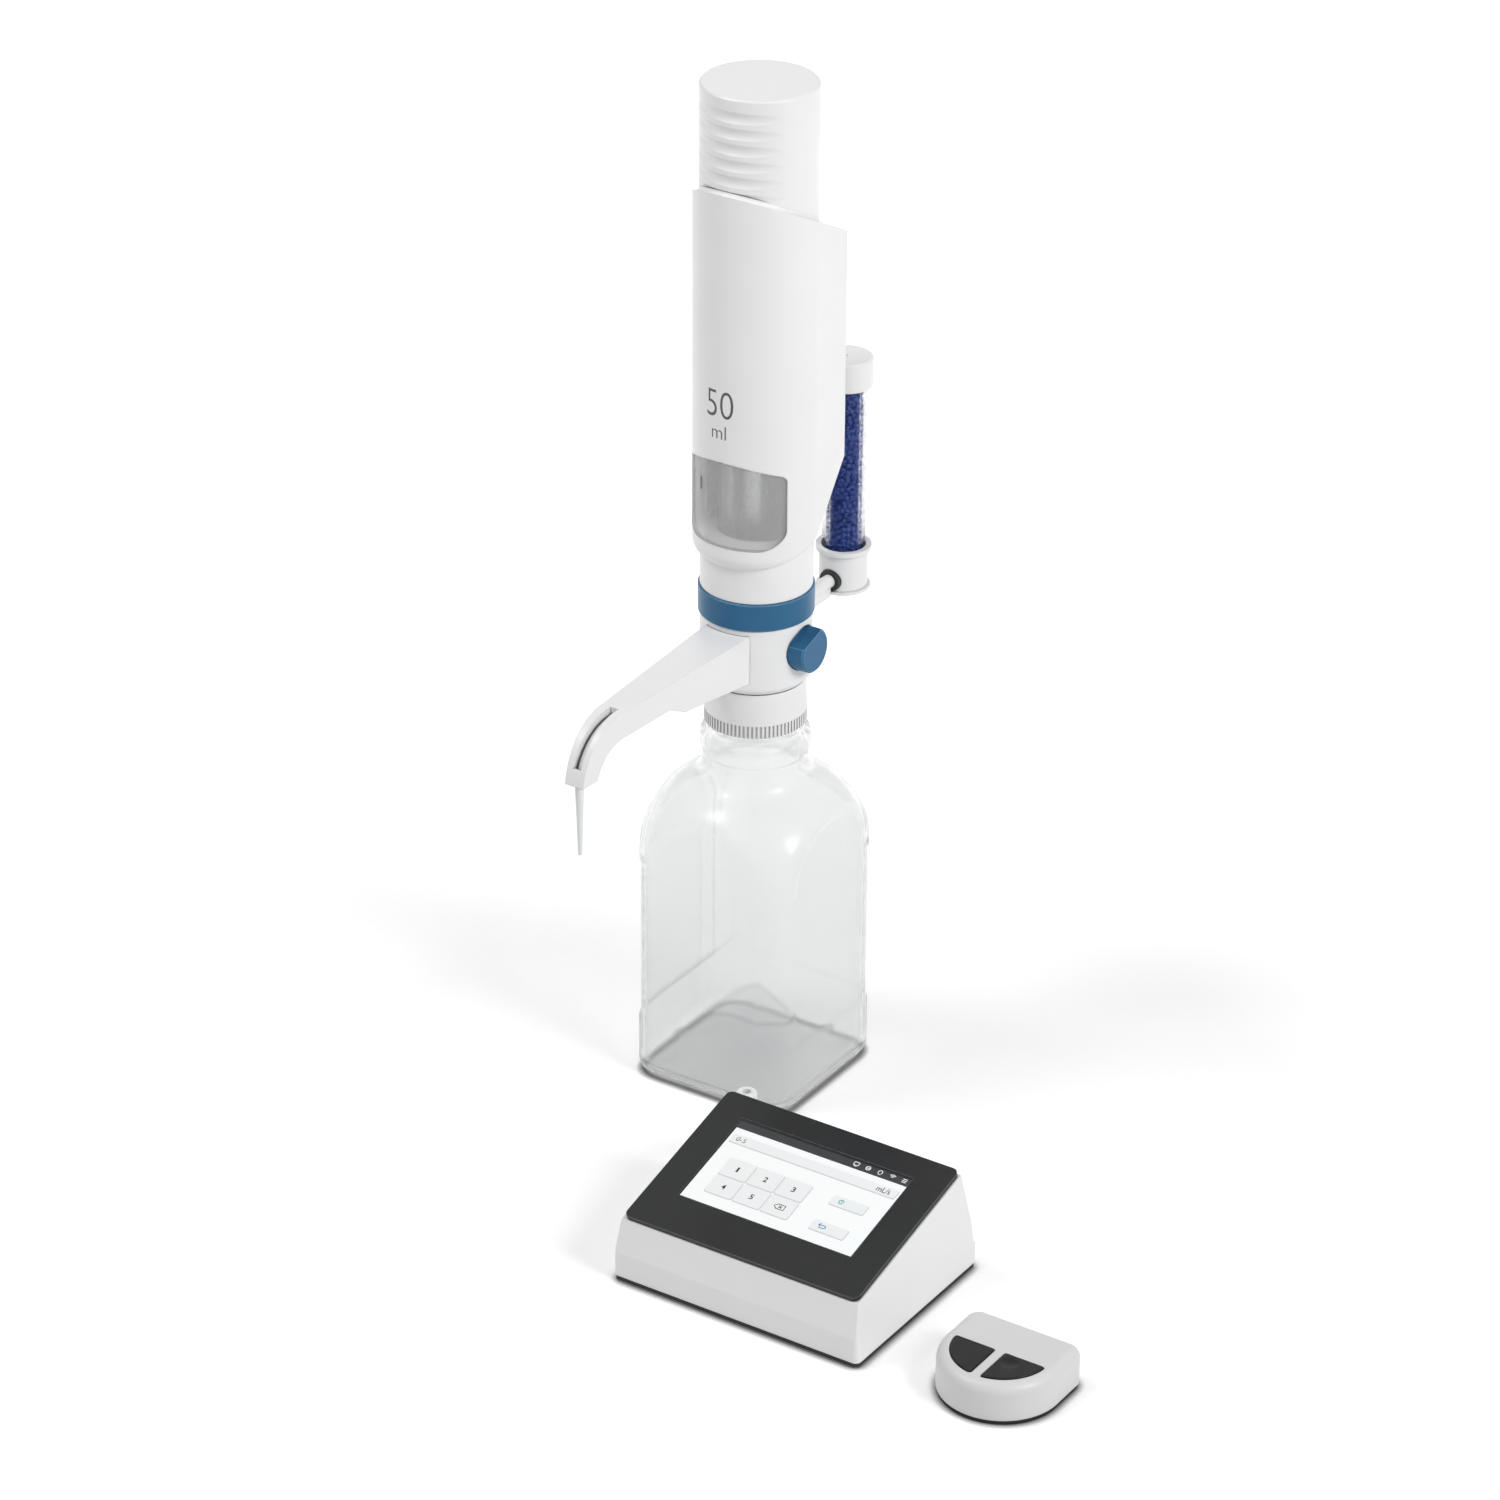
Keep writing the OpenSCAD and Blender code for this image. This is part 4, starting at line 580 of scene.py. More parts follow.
def panelDepth(s, across, z):
    # how far the outer wall stands in from the skirt's width, at a place on one face
    low, soft = shoulderZ(s), s["edgeSoft"]
    archZ, half = low - s["archDrop"], s["width"] / 2 - s["cornerR"]
    above = math.hypot(across, z - archZ) - s["archR"] if z > archZ else -s["archR"]
    outside = max(abs(across) - half, s["skirtTop"] - z, above)
    panel = 1 - softStep(-soft, soft, outside)
    waist = softStep(s["skirtTop"] - soft, s["skirtTop"] + soft, z) * (1 - softStep(low - 2 * soft, low, z))
    return max(waist * s["waist"], panel * (s["waist"] + s["panelDip"]))


def bottleLevel(s, z, inset, limit, panels):
    points = []
    for angle in turnsOf(s["sides"]):
        away = (angle + math.pi / 4) % (math.pi / 2) - math.pi / 4
        r = squareRadius(angle, s["width"] / 2 - inset, s["cornerR"] - inset / 2)
        if panels:
            r -= panelDepth(s, r * math.sin(away), z) / math.cos(away)
        r = softMin(r, limit, s["blend"])
        points.append((r * math.cos(angle), r * math.sin(angle), z))
    return points


def circleLevel(s, r, z):
    return [(r * math.cos(t), r * math.sin(t), z) for t in turnsOf(s["sides"])]


def shoulderLevels(s, inset):
    # the dome and the hollow below the neck, as height and radius
    low, steps = shoulderZ(s), s["domeSteps"]
    middle, hollow = s["shoulderR"] - s["domeR"], s["neckR"] + s["filletR"]
    sweep = math.atan2(s["neckZ"] - low, hollow - middle)
    dome = [sweep * i / steps for i in range(1, steps + 1)]
    fillet = [sweep * (1 - i / (steps / 3)) for i in range(1, steps // 3 + 1)]
    domeR, filletR = s["domeR"] - inset, s["filletR"] + inset
    levels = [(low + domeR * math.sin(a), middle + domeR * math.cos(a)) for a in dome]
    return levels + [(s["neckZ"] - filletR * math.sin(a), hollow - filletR * math.cos(a)) for a in fillet]


def bottleWall(s, inset, steps):
    low, high = s["floor"] if inset else 0, shoulderZ(s)
    footR = s["footR"] - inset / 2
    levels = []
    for a in quarter(s["roundSteps"]):
        z, footInset = low + footR * (1 - math.cos(a)), inset + footR * (1 - math.sin(a))
        levels.append(bottleLevel(s, z, footInset, math.inf, False))
    first = low + footR
    for i in range(1, steps + 1):
        z = first + (high - first) * i / steps
        limit = s["shoulderR"] - inset + ((high - z) / s["flareRun"]) ** 2 * s["flare"]
        levels.append(bottleLevel(s, z, inset, limit, not inset))
    for z, r in shoulderLevels(s, inset):
        levels.append(bottleLevel(s, z, inset, r, not inset))
    return levels


def neckOutside(s):
    # bead with two rounds, land and thread core, from the neck up over the lip
    edge, middle, steps = s["beadEdge"], s["beadR"] - s["beadEdge"], s["roundSteps"]
    levels = [(s["neckR"], s["beadLow"])]
    # height of a round's middle, the degrees where it starts and how far it turns
    for height, start, sweep in ((s["beadLow"] + edge, -45, 45), (s["beadTop"] - edge, 0, 80)):
        for i in range(steps + 1):
            a = math.radians(start + sweep * i / steps)
            levels.append((middle + edge * math.cos(a), height + edge * math.sin(a)))
    landTop, mouth = s["beadTop"] + s["landH"], s["mouth"]
    levels += [(s["landR"], s["beadTop"]), (s["landR"], landTop)]
    levels += [(s["threadR"], landTop + s["landEdge"]), (s["threadR"], mouth - s["lipOut"])]
    return levels + [(s["threadR"] - s["lipOut"], mouth), (s["boreR"] + s["lipIn"], mouth)]


def addKick(mesh, s, loop, floor):
    # the base between a loop and its middle, pushed up in the middle
    last = loop
    for share in s["kickShares"]:
        rise = s["kick"] * (1 - share * share) + floor
        ring = [mesh.verts.new((v.co.x * share, v.co.y * share, rise * mm)) for v in loop]
        bridge(mesh, last, ring)
        last = ring
    top = mesh.verts.new((0, 0, (floor + s["kick"]) * mm))
    for i in range(len(last)):
        mesh.faces.new((last[i - 1], last[i], top))


def makeBottle(s):
    mesh = bmesh.new()
    throat = s["neckZ"] + s["throatUp"]
    neckInside = [(s["neckR"] - s["wall"], throat), (s["boreR"], throat + s["throatH"]),
                  (s["boreR"], s["mouth"] - s["lipIn"])]
    outer = bottleWall(s, 0, s["outerSteps"]) + [circleLevel(s, r, z) for r, z in neckOutside(s)]
    inner = bottleWall(s, s["wall"], s["innerSteps"]) + [circleLevel(s, r, z) for r, z in neckInside]
    loops = bridgeAll(mesh, outer + inner[::-1])
    addKick(mesh, s, loops[0], 0)
    addKick(mesh, s, loops[-1], s["floor"])
    data = closeMesh(mesh, "blownBottle", sharpAngle=50)
    addPiece("blownBottle", data, "bench", "clear_bottle", ["bottle"])


makeBottle(bottleSizes)
print("bottle made")


# Hand switch

switchLow, switchTop = boxOf("switch_housing")
buttonLow, buttonTop = boxOf("left_button")
switchR = (switchTop[0] - switchLow[0]) / 2
switchSizes = {
    "place": ((switchLow[0] + switchTop[0]) / 2, switchLow[1] + switchR), "r": switchR,
    "back": 25.3, "cornerR": 7.0, "leastCornerR": 0.8, "low": switchLow[2], "top": switchTop[2],
    "edgeR": 5.2, "footEdge": 0.3, "wall": 2.2, "roof": 3.2,
    "frontSteps": 64, "sideSteps": 8, "backSteps": 14, "cornerSteps": 12, "edgeSteps": 12,
    "flatRun": 0.12,  # short flat run beside a round, which keeps the shading even
    "gap": 0.3, "rimEdge": 0.45, "rimSteps": 5, "rimRun": 0.1,
    "buttonR": 23.7, "halfGap": 2.7, "buttonBack": 1.3, "buttonCornerR": 1.1, "leastButtonR": 0.25,
    "buttonTop": buttonTop[2], "buttonT": 5.3, "buttonEdge": 0.7, "buttonRun": 0.15, "lip": 1.2, "lipT": 1.2,
    "bowSteps": 40, "straightSteps": 12, "turnSteps": 8, "buttonEdgeSteps": 6,
    "dish": (8.8, -7.7), "dishR": 4.5, "dishDepth": 0.7, "dishRun": 0.25, "dishSink": 0.02,
    "dishShares": (1, 0.9, 0.75, 0.6, 0.45, 0.3, 0.15),
    "pin": (9.95, -9.83), "pinR": 1.7, "pinLow": buttonLow[2], "ringSides": 32,
}
buttonNames = {
    -1: ("leftButtonCap", "button_left", "left_button"),
    1: ("rightButtonCap", "button_right", "right_button"),
}


def arc(middle, r, start, end, steps):
    angles = [math.radians(start + (end - start) * i / steps) for i in range(steps + 1)]
    return [(middle[0] + r * math.cos(a), middle[1] + r * math.sin(a)) for a in angles]


def atSwitch(s, flat, z):
    return [(s["place"][0] + x, s["place"][1] + y, z) for x, y in flat]


def switchOutline(s, inset, z):
    r, c = s["r"] - inset, max(s["cornerR"] - inset, s["leastCornerR"])
    back, up, across = s["back"] - inset, s["sideSteps"], s["backSteps"]
    flat = arc((0, 0), r, 180, 360, s["frontSteps"])
    flat += [(r, (back - c) * i / up) for i in range(1, up)]
    flat += arc((r - c, back - c), c, 0, 90, s["cornerSteps"])
    flat += [((r - c) * (1 - 2 * i / across), back) for i in range(1, across)]
    flat += arc((c - r, back - c), c, 90, 180, s["cornerSteps"])
    flat += [(-r, (back - c) * (1 - i / up)) for i in range(1, up)]
    return atSwitch(s, flat, z)


def buttonOutline(s, side, grow, z):
    # quarter disc with small round corners, anticlockwise, drawn out by "grow"
    big, c = s["buttonR"] + grow, max(s["buttonCornerR"] + grow, s["leastButtonR"])
    x0, y0 = s["halfGap"] - grow, grow - s["buttonBack"]
    front = (x0 + c, -math.sqrt((big - c) ** 2 - (x0 + c) ** 2))
    rear = (math.sqrt((big - c) ** 2 - (y0 - c) ** 2), y0 - c)
    first, last = [math.degrees(math.atan2(y, x)) for x, y in (front, rear)]
    steps, corner = s["straightSteps"], s["turnSteps"]
    flat = arc(front, c, -180, first, corner)
    flat += arc((0, 0), big, first, last, s["bowSteps"])[1:-1]
    flat += arc(rear, c, last, 90, corner)
    flat += [(rear[0] + (x0 + c - rear[0]) * i / steps, y0) for i in range(1, steps)]
    flat += arc((x0 + c, y0 - c), c, 90, 180, corner)
    flat += [(x0, y0 - c + (front[1] - y0 + c) * i / steps) for i in range(1, steps)]
    if side < 0:
        flat = [(-x, y) for x, y in flat[::-1]]
    return atSwitch(s, flat, z)


def buttonOpening(mesh, s, side):
    # the hole's wall with a small round at its rim, as its top and bottom loop
    start, edge, top = s["gap"], s["rimEdge"], s["top"]
    levels = [buttonOutline(s, side, start + edge + s["rimRun"], top)]
    for a in quarter(s["rimSteps"]):
        grow, drop = start + edge * (1 - math.sin(a)), edge * (1 - math.cos(a))
        levels.append(buttonOutline(s, side, grow, top - drop))
    levels.append(buttonOutline(s, side, start, top - s["roof"]))
    loops = bridgeAll(mesh, levels)
    return loops[0], loops[-1]


def makeSwitchShell(s):
    mesh = bmesh.new()
    e, low, top = s["edgeR"], s["low"], s["top"]
    levels = [switchOutline(s, s["wall"], low), switchOutline(s, s["footEdge"], low),
              switchOutline(s, 0, low + s["footEdge"])]
    for a in quarter(s["edgeSteps"]):
        levels.append(switchOutline(s, e * (1 - math.cos(a)), top - e + e * math.sin(a)))
    levels.append(switchOutline(s, e + s["flatRun"], top))
    outer = bridgeAll(mesh, levels)
    ceiling = newLoop(mesh, switchOutline(s, s["wall"], top - s["roof"]))
    bridge(mesh, ceiling, outer[0])
    openings = [buttonOpening(mesh, s, side) for side in (-1, 1)]
    fillFlat(mesh, [outer[-1]] + [rim for rim, foot in openings])
    fillFlat(mesh, [ceiling] + [foot for rim, foot in openings])
    data = closeMesh(mesh, "switchShell")
    addPiece("switchShell", data, "bench", "grey_plastic", ["switch_housing"])


def ringAt(s, place, r, z, side=1):
    turns = turnsOf(s["ringSides"])
    flat = [(side * (place[0] + r * math.cos(t)), place[1] + r * math.sin(t)) for t in turns]
    return atSwitch(s, flat, z)


def addDish(mesh, s, top):
    # shallow finger dish, part of a ball, as its outer loop
    ballR = (s["dishR"] ** 2 + s["dishDepth"] ** 2) / (2 * s["dishDepth"])
    rings = [ringAt(s, s["dish"], s["dishR"] + s["dishRun"], top)]
    for share in s["dishShares"]:
        r = s["dishR"] * share
        z = top + ballR - s["dishDepth"] - math.sqrt(ballR * ballR - r * r) - s["dishSink"]
        rings.append(ringAt(s, s["dish"], r, z))
    loops = bridgeAll(mesh, rings)
    mesh.faces.new(loops[-1])
    return loops[0]


def makeButton(s, side):
    mesh = bmesh.new()
    top, e = s["buttonTop"], s["buttonEdge"]
    low = top - s["buttonT"]
    levels = [buttonOutline(s, side, s["lip"], low), buttonOutline(s, side, s["lip"], low + s["lipT"]),
              buttonOutline(s, side, 0, low + s["lipT"])]
    for a in quarter(s["buttonEdgeSteps"]):
        levels.append(buttonOutline(s, side, -e * (1 - math.cos(a)), top - e + e * math.sin(a)))
    levels.append(buttonOutline(s, side, -e - s["buttonRun"], top))
    loops = bridgeAll(mesh, levels)
    pin = bridgeAll(mesh, [ringAt(s, s["pin"], s["pinR"], z, side) for z in (low, s["pinLow"])])
    mesh.faces.new(pin[1])
    fillFlat(mesh, [loops[0], pin[0]])
    # the photograph shows a dish in the right button alone
    fillFlat(mesh, [loops[-1]] + ([addDish(mesh, s, top)] if side > 0 else []))
    name, body, node = buttonNames[side]
    addPiece(name, closeMesh(mesh, name), body, "dark_button", [node])


makeSwitchShell(switchSizes)
for side in buttonNames:
    makeButton(switchSizes, side)
print("hand switch made")


# Printing on the housing

printSizes = {
    "wallR": -boxOf("housing_shell")[0][1],  # radius of the housing that carries the printing
    "lift": 0.02, "thick": 0.05, "sliceW": 1.0, "weld": 0.001,
    # words, then left, right, low and high, then how much the strokes are thinned
    "printedFigures": ("50", (-8.7, 6.4, 367.3, 381.2), 0.22),
    "printedUnit": ("ml", (-5.5, 2.6, 356.4, 363.2), 0.09),
}
letterSizes = {"scale": 1.3, "curveSteps": 5}


def bakedMesh(carrier):
    # the mesh that an object's text or modifier gives; the object goes
    bpy.context.view_layer.update()
    data = bpy.data.meshes.new_from_object(carrier.evaluated_get(bpy.context.evaluated_depsgraph_get()))
    bpy.data.objects.remove(carrier)
    return data


def lettering(words, box, thin, thick):
    # words as a mesh, stretched to fill the box and thinned a little so that the strokes stay fine
    left, right, low, high = box
    curve = bpy.data.curves.new(words, "FONT")
    curve.body, curve.size = words, letterSizes["scale"] * (high - low)
    curve.resolution_u = letterSizes["curveSteps"]
    curve.offset, curve.extrude = -thin, thick / 2
    data = bakedMesh(newObject(words, curve))
    bpy.data.curves.remove(curve)
    xs, ys = [v.co.x for v in data.vertices], [v.co.y for v in data.vertices]
    for v in data.vertices:
        v.co.x = left + (right - left) * (v.co.x - min(xs)) / (max(xs) - min(xs))
        v.co.y = low + (high - low) * (v.co.y - min(ys)) / (max(ys) - min(ys))
    return data


def sliceAcross(mesh, left, right, width):
    steps = int((right - left) / width)
    for i in range(1, steps + 1):
        bmesh.ops.bisect_plane(mesh, geom=mesh.verts[:] + mesh.edges[:] + mesh.faces[:],
                               plane_co=(left + i * width, 0, 0), plane_no=(1, 0, 0))


def makePrint(s, name):
    words, box, thin = s[name]
    mesh = bmesh.new()
    mesh.from_mesh(lettering(words, box, thin, s["thick"]))
    bmesh.ops.remove_doubles(mesh, verts=mesh.verts, dist=s["weld"])
    sliceAcross(mesh, box[0], box[1], s["sliceW"])
    for v in mesh.verts:
        turn, r = v.co.x / s["wallR"], s["wallR"] + s["lift"] + v.co.z
        v.co = Vector((r * math.sin(turn), -r * math.cos(turn), v.co.y)) * mm
    addPiece(name, closeMesh(mesh, name), "head", "dark_print")


for name in ("printedFigures", "printedUnit"):
    makePrint(printSizes, name)


# Picture on the touch screen

screenSizes = {
    # y and z of the lower edge of the panel's upper face, and its slope in degrees
    "foot": (boxOf("front_panel")[0][1], 35.5), "tilt": 14.32,
    "depth": 0.2,  # of the display below that face
    "sheet": 0.03, "layerGap": 0.01,  # thickness of one printed layer, and the air between two
    "edgeR": 0.05,
    # left and right, low and high up the panel from its foot, and a corner radius where it shows
    "page": (77.4, 173.0, 22.8, 73.0),
    "bar": (76.7, 173.1, 73.0, 79.1),
    "inputField": (79.0, 171.4, 63.6, 69.2, 0.8),
    "keyPad": (86.2, 132.6, 30.2, 54.6),
    "keyRows": 2, "keyColumns": 3, "keyGap": 0.8, "keyR": 1.0,
    "buttons": ((145.0, 163.7, 48.0, 54.3, 0.9), (145.0, 163.7, 30.2, 36.8, 0.9)),
    "shade": (-0.1, 0.45, -0.55, -0.1),  # how far the soft shade of a key stands out on each side
    "figureHalf": (1.0, 1.6), "oneHalf": 0.5, "figureThin": -0.06,
    "words": (("0-5", (81.6, 86.8, 65.1, 67.9), 0.05), ("mL/s", (160.6, 168.0, 64.9, 68.2), 0.0)),
    "deleteRun": 7.6,  # from the last key's left side to the middle of its sign
    "clock": (150.2, 51.3), "goBack": (151.4, 33.5),
    "barSigns": {"display": 143.25, "disc": 149.9, "drop": 156.6, "waves": 163.3, "list": 170.0},
}
screenFinishes = {
    "screenPage": "screen_page", "screenBar": "screen_bar", "screenShade": "screen_shade",
    "screenKeys": "screen_key", "screenInk": "screen_ink", "screenSigns": "screen_sign",
    "screenBlue": "screen_blue", "screenTeal": "screen_teal",
}


def onPanel(s, x, up, lift):
    a = math.radians(s["tilt"])
    y, z = s["foot"]
    return (x, y + up * math.cos(a) - lift * math.sin(a), z + up * math.sin(a) + lift * math.cos(a))


def roundedBox(left, right, low, high, r, steps=5):
    flat = arc((right - r, low + r), r, -90, 0, steps) + arc((right - r, high - r), r, 0, 90, steps)
    flat += arc((left + r, high - r), r, 90, 180, steps) + arc((left + r, low + r), r, 180, 270, steps)
    return flat


def addPlate(mesh, s, box, lift, r):
    flat = roundedBox(*box[:4], r)
    loops = bridgeAll(mesh, [[onPanel(s, x, y, lift + t) for x, y in flat] for t in (0, s["sheet"])])
    mesh.faces.new(loops[0][::-1])
    mesh.faces.new(loops[1])


def addWords(mesh, s, words, box, lift, thin):
    data = lettering(words, box, thin, s["sheet"])
    for v in data.vertices:
        v.co = Vector(onPanel(s, v.co.x, v.co.y, lift + v.co.z + s["sheet"] / 2)) * mm
    mesh.from_mesh(data)


def addStroke(mesh, s, points, width, lift, closed):
    # a drawn line of even width, for the signs on the screen
    count = len(points)
    left, right = [], []
    for i, (x, y) in enumerate(points):
        before = points[i - 1] if i or closed else points[i]
        after = points[(i + 1) % count] if i < count - 1 or closed else points[i]
        run = Vector((after[0] - before[0], after[1] - before[1])).normalized() * width / 2
        left.append((x - run.y, y + run.x))
        right.append((x + run.y, y - run.x))
    rightLow, leftLow, rightTop, leftTop = [
        newLoop(mesh, [onPanel(s, x, y, up) for x, y in line])
        for up in (lift, lift + s["sheet"]) for line in (right, left)]
    for i in range(count if closed else count - 1):
        j = (i + 1) % count
        mesh.faces.new((rightTop[i], rightTop[j], leftTop[j], leftTop[i]))
        mesh.faces.new((leftLow[i], leftLow[j], rightLow[j], rightLow[i]))
        mesh.faces.new((rightLow[i], rightLow[j], rightTop[j], rightTop[i]))
        mesh.faces.new((leftTop[i], leftTop[j], leftLow[j], leftLow[i]))
    if not closed:
        mesh.faces.new((rightLow[0], rightTop[0], leftTop[0], leftLow[0]))
        mesh.faces.new((leftLow[-1], leftTop[-1], rightTop[-1], rightLow[-1]))


def keyBoxes(s):
    left, right, low, high = s["keyPad"]
    w = (right - left - (s["keyColumns"] - 1) * s["keyGap"]) / s["keyColumns"]
    h = (high - low - (s["keyRows"] - 1) * s["keyGap"]) / s["keyRows"]
    boxes = []
    for row in range(s["keyRows"]):
        for column in range(s["keyColumns"]):
            x, y = left + column * (w + s["keyGap"]), high - h - row * (h + s["keyGap"])
            boxes.append((x, x + w, y, y + h, s["keyR"]))
    return boxes


# lines of each sign from its own middle: points, width, and whether the line closes
signLines = {
    "delete": [
        ([(-3, 0), (-1.4, 1.5), (2.6, 1.5), (2.6, -1.5), (-1.4, -1.5)], 0.45, True),
        ([(-0.5, -0.7), (1.1, 0.7)], 0.4, False),
        ([(-0.5, 0.7), (1.1, -0.7)], 0.4, False),
    ],
    "clock": [
        (arc((0, 0), 1.25, 0, 330, 22), 0.4, False),
        ([(0, 0.9), (0, 0), (0.7, -0.3)], 0.35, False),
    ],
    "goBack": [
        ([(-3.0, 0.7), *arc((0, 0), 0.9, 90, -90, 8), (-2.6, -0.9)], 0.42, False),
        ([(-2.0, 1.8), (-3.1, 0.8), (-2.0, -0.2)], 0.42, False),
    ],
    "display": [
        (roundedBox(-1.35, 1.35, -0.7, 1.3, 0.3), 0.4, True),
        ([(-0.75, -1.3), (0.75, -1.3)], 0.4, False),
    ],
    "disc": [
        (arc((0, 0), 1.15, 0, 360, 20)[:-1], 0.5, True),
        ([(-0.7, 0), (0.7, 0)], 0.5, False),
    ],
    "drop": [
        (arc((0, 0.1), 1.1, -50, 230, 16), 0.45, False),
        ([(-0.8, -1.3), (0.8, -1.3)], 0.4, False),
    ],
    "waves": [(arc((0, -1.0), r, 45, 135, 8), 0.42, False) for r in (0.6, 1.4, 2.2)],
    "list": [([(-1.2, rise), (1.2, rise)], 0.45, False) for rise in (-1, 0, 1)],
}


def addSign(mesh, s, sign, place, lift):
    for points, width, closed in signLines[sign]:
        addStroke(mesh, s, [(place[0] + x, place[1] + y) for x, y in points], width, lift, closed)


def makeScreen(s):
    lowest, step = s["layerGap"] - s["depth"], s["sheet"] + s["layerGap"]
    ground, shaded, raised, top = [lowest + i * step for i in range(4)]
    layers = {name: bmesh.new() for name in screenFinishes}
    keys, ink = keyBoxes(s), layers["screenInk"]
    addPlate(layers["screenPage"], s, s["page"], ground, s["edgeR"])
    addPlate(layers["screenBar"], s, s["bar"], ground, s["edgeR"])
    for box in (*keys, *s["buttons"], s["inputField"]):
        shade = [side + out for side, out in zip(box, s["shade"])]
        addPlate(layers["screenShade"], s, shade, shaded, box[4])
        addPlate(layers["screenKeys"], s, box, raised, box[4])
    middles = [((key[0] + key[1]) / 2, (key[2] + key[3]) / 2) for key in keys]
    for words, (x, y) in zip("12345", middles):
        half, up = s["figureHalf"]
        half = s["oneHalf"] if words == "1" else half
        addWords(ink, s, words, (x - half, x + half, y - up, y + up), top, s["figureThin"])
    for words, box, thin in s["words"]:
        addWords(ink, s, words, box, top, thin)
    # the last key clears a figure
    addSign(ink, s, "delete", (keys[-1][0] + s["deleteRun"], middles[-1][1]), top)
    addSign(layers["screenTeal"], s, "clock", s["clock"], top)
    addSign(layers["screenBlue"], s, "goBack", s["goBack"], top)
    barMiddle = (s["bar"][2] + s["bar"][3]) / 2
    for sign, x in s["barSigns"].items():
        addSign(layers["screenSigns"], s, sign, (x, barMiddle), shaded)
    for name, mesh in layers.items():
        addPiece(name, closeMesh(mesh, name), "bench", screenFinishes[name])


makeScreen(screenSizes)
print("printing and screen made")


# Soft hollow where the top cap grows out of the housing's sloping roof

capRootSizes = {
    "r": boxOf("top_cap")[1][0], "hollow": 2.5, "sink": 0.4, "sides": 128, "steps": 9,
    # the roof's height at the front, and its fall towards the rear
    "roofR": printSizes["wallR"], "roofZ": 479.7, "slope": 0.497,
}


def makeCapRoot(s):
    mesh = bmesh.new()
    h, sink, steps = s["hollow"], -s["sink"], s["steps"]
    turns = [math.radians(270 - 90 * i / steps) for i in range(steps + 1)]
    section = [(sink, sink), (h, sink)] + [(h + h * math.cos(a), h + h * math.sin(a)) for a in turns]
    section.append((sink, h))
    loops = []
    for out, up in section:
        r = s["r"] + out
        flat = [(r * math.cos(t), r * math.sin(t)) for t in turnsOf(s["sides"])]
        level = [(x, y, s["roofZ"] - s["slope"] * (y + s["roofR"]) + up) for x, y in flat]
        loops.append(newLoop(mesh, level))
    for lower, upper in zip(loops, loops[1:] + loops[:1]):
        bridge(mesh, lower, upper)
    addPiece("capRoot", closeMesh(mesh, "capRoot", sharpAngle=60), "head", "white_plastic")


makeCapRoot(capRootSizes)
print("cap root made")


# Pale ledge seen through the foot of the window

ledgeSizes = {
    "outerR": 29.2, "gap": 0.4, "thick": 0.9, "up": 0.2, "half": 75.0, "steps": 48,
}


def makeWindowLedge(s):
    mesh = bmesh.new()
    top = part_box("window_shield")[0][2] / mm + s["up"]
    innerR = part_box("glass_cylinder")[1][0] / mm + s["gap"]
    outerR, low = s["outerR"], top - s["thick"]
    section = [(innerR, low), (outerR, low), (outerR, top), (innerR, top)]
    turns = [math.radians(-90 - s["half"] + 2 * s["half"] * i / s["steps"]) for i in range(s["steps"] + 1)]
    loops = bridgeAll(mesh, [[(r * math.cos(t), r * math.sin(t), z) for r, z in section] for t in turns])
    mesh.faces.new(loops[0][::-1])
    mesh.faces.new(loops[-1])
    addPiece("windowLedge", closeMesh(mesh, "windowLedge"), "head", "white_plastic")


makeWindowLedge(ledgeSizes)
print("window ledge made")


# Reading mark printed on the window

markSizes = {
    "r": printSizes["wallR"] + printSizes["lift"], "thick": printSizes["thick"],
    "turn": -25.0, "width": 1.5, "low": 326.2, "high": 333.0, "steps": 4,
}


def makeWindowMark(s):
    mesh = bmesh.new()
    half = math.degrees(s["width"] / 2 / s["r"])
    turns = [math.radians(s["turn"] - half + 2 * half * i / s["steps"]) for i in range(s["steps"] + 1)]
    flat = [(s["r"], t) for t in turns] + [(s["r"] + s["thick"], t) for t in turns[::-1]]
    levels = [[(r * math.sin(t), -r * math.cos(t), z) for r, t in flat] for z in (s["low"], s["high"])]
    for loop in bridgeAll(mesh, levels):
        fillFlat(mesh, [loop])
    addPiece("windowMark", closeMesh(mesh, "windowMark"), "head", "dark_print")


makeWindowMark(markSizes)
print("window mark made")


# Silica gel beads

beadSizes = {
    "tube": (0.0, 79.0),  # axis of the drying tube
    "low": 256.5, "high": 341.5, "wallR": 9.3, "coreSides": 48,
    "crown": ((0.6, 0.4), (0.2, 0.5)),  # shares of the core's radius, and how far its top rises there
    "beadR": 1.6, "spread": 0.15, "gap": 2.1, "seed": 7,
    "density": 1e6,  # beads on a square metre at most, so that the gap decides
    "turn": 6.28,  # radians, so that a bead may lie any way round
}


beadInputs = {
    "Bead radius": "NodeSocketFloat", "Least gap": "NodeSocketFloat", "Spread": "NodeSocketFloat",
    "Seed": "NodeSocketInt", "Finish": "NodeSocketMaterial",
}


def newSocket(tree, name, kind, side="INPUT"):
    return tree.interface.new_socket(name, in_out=side, socket_type=kind)


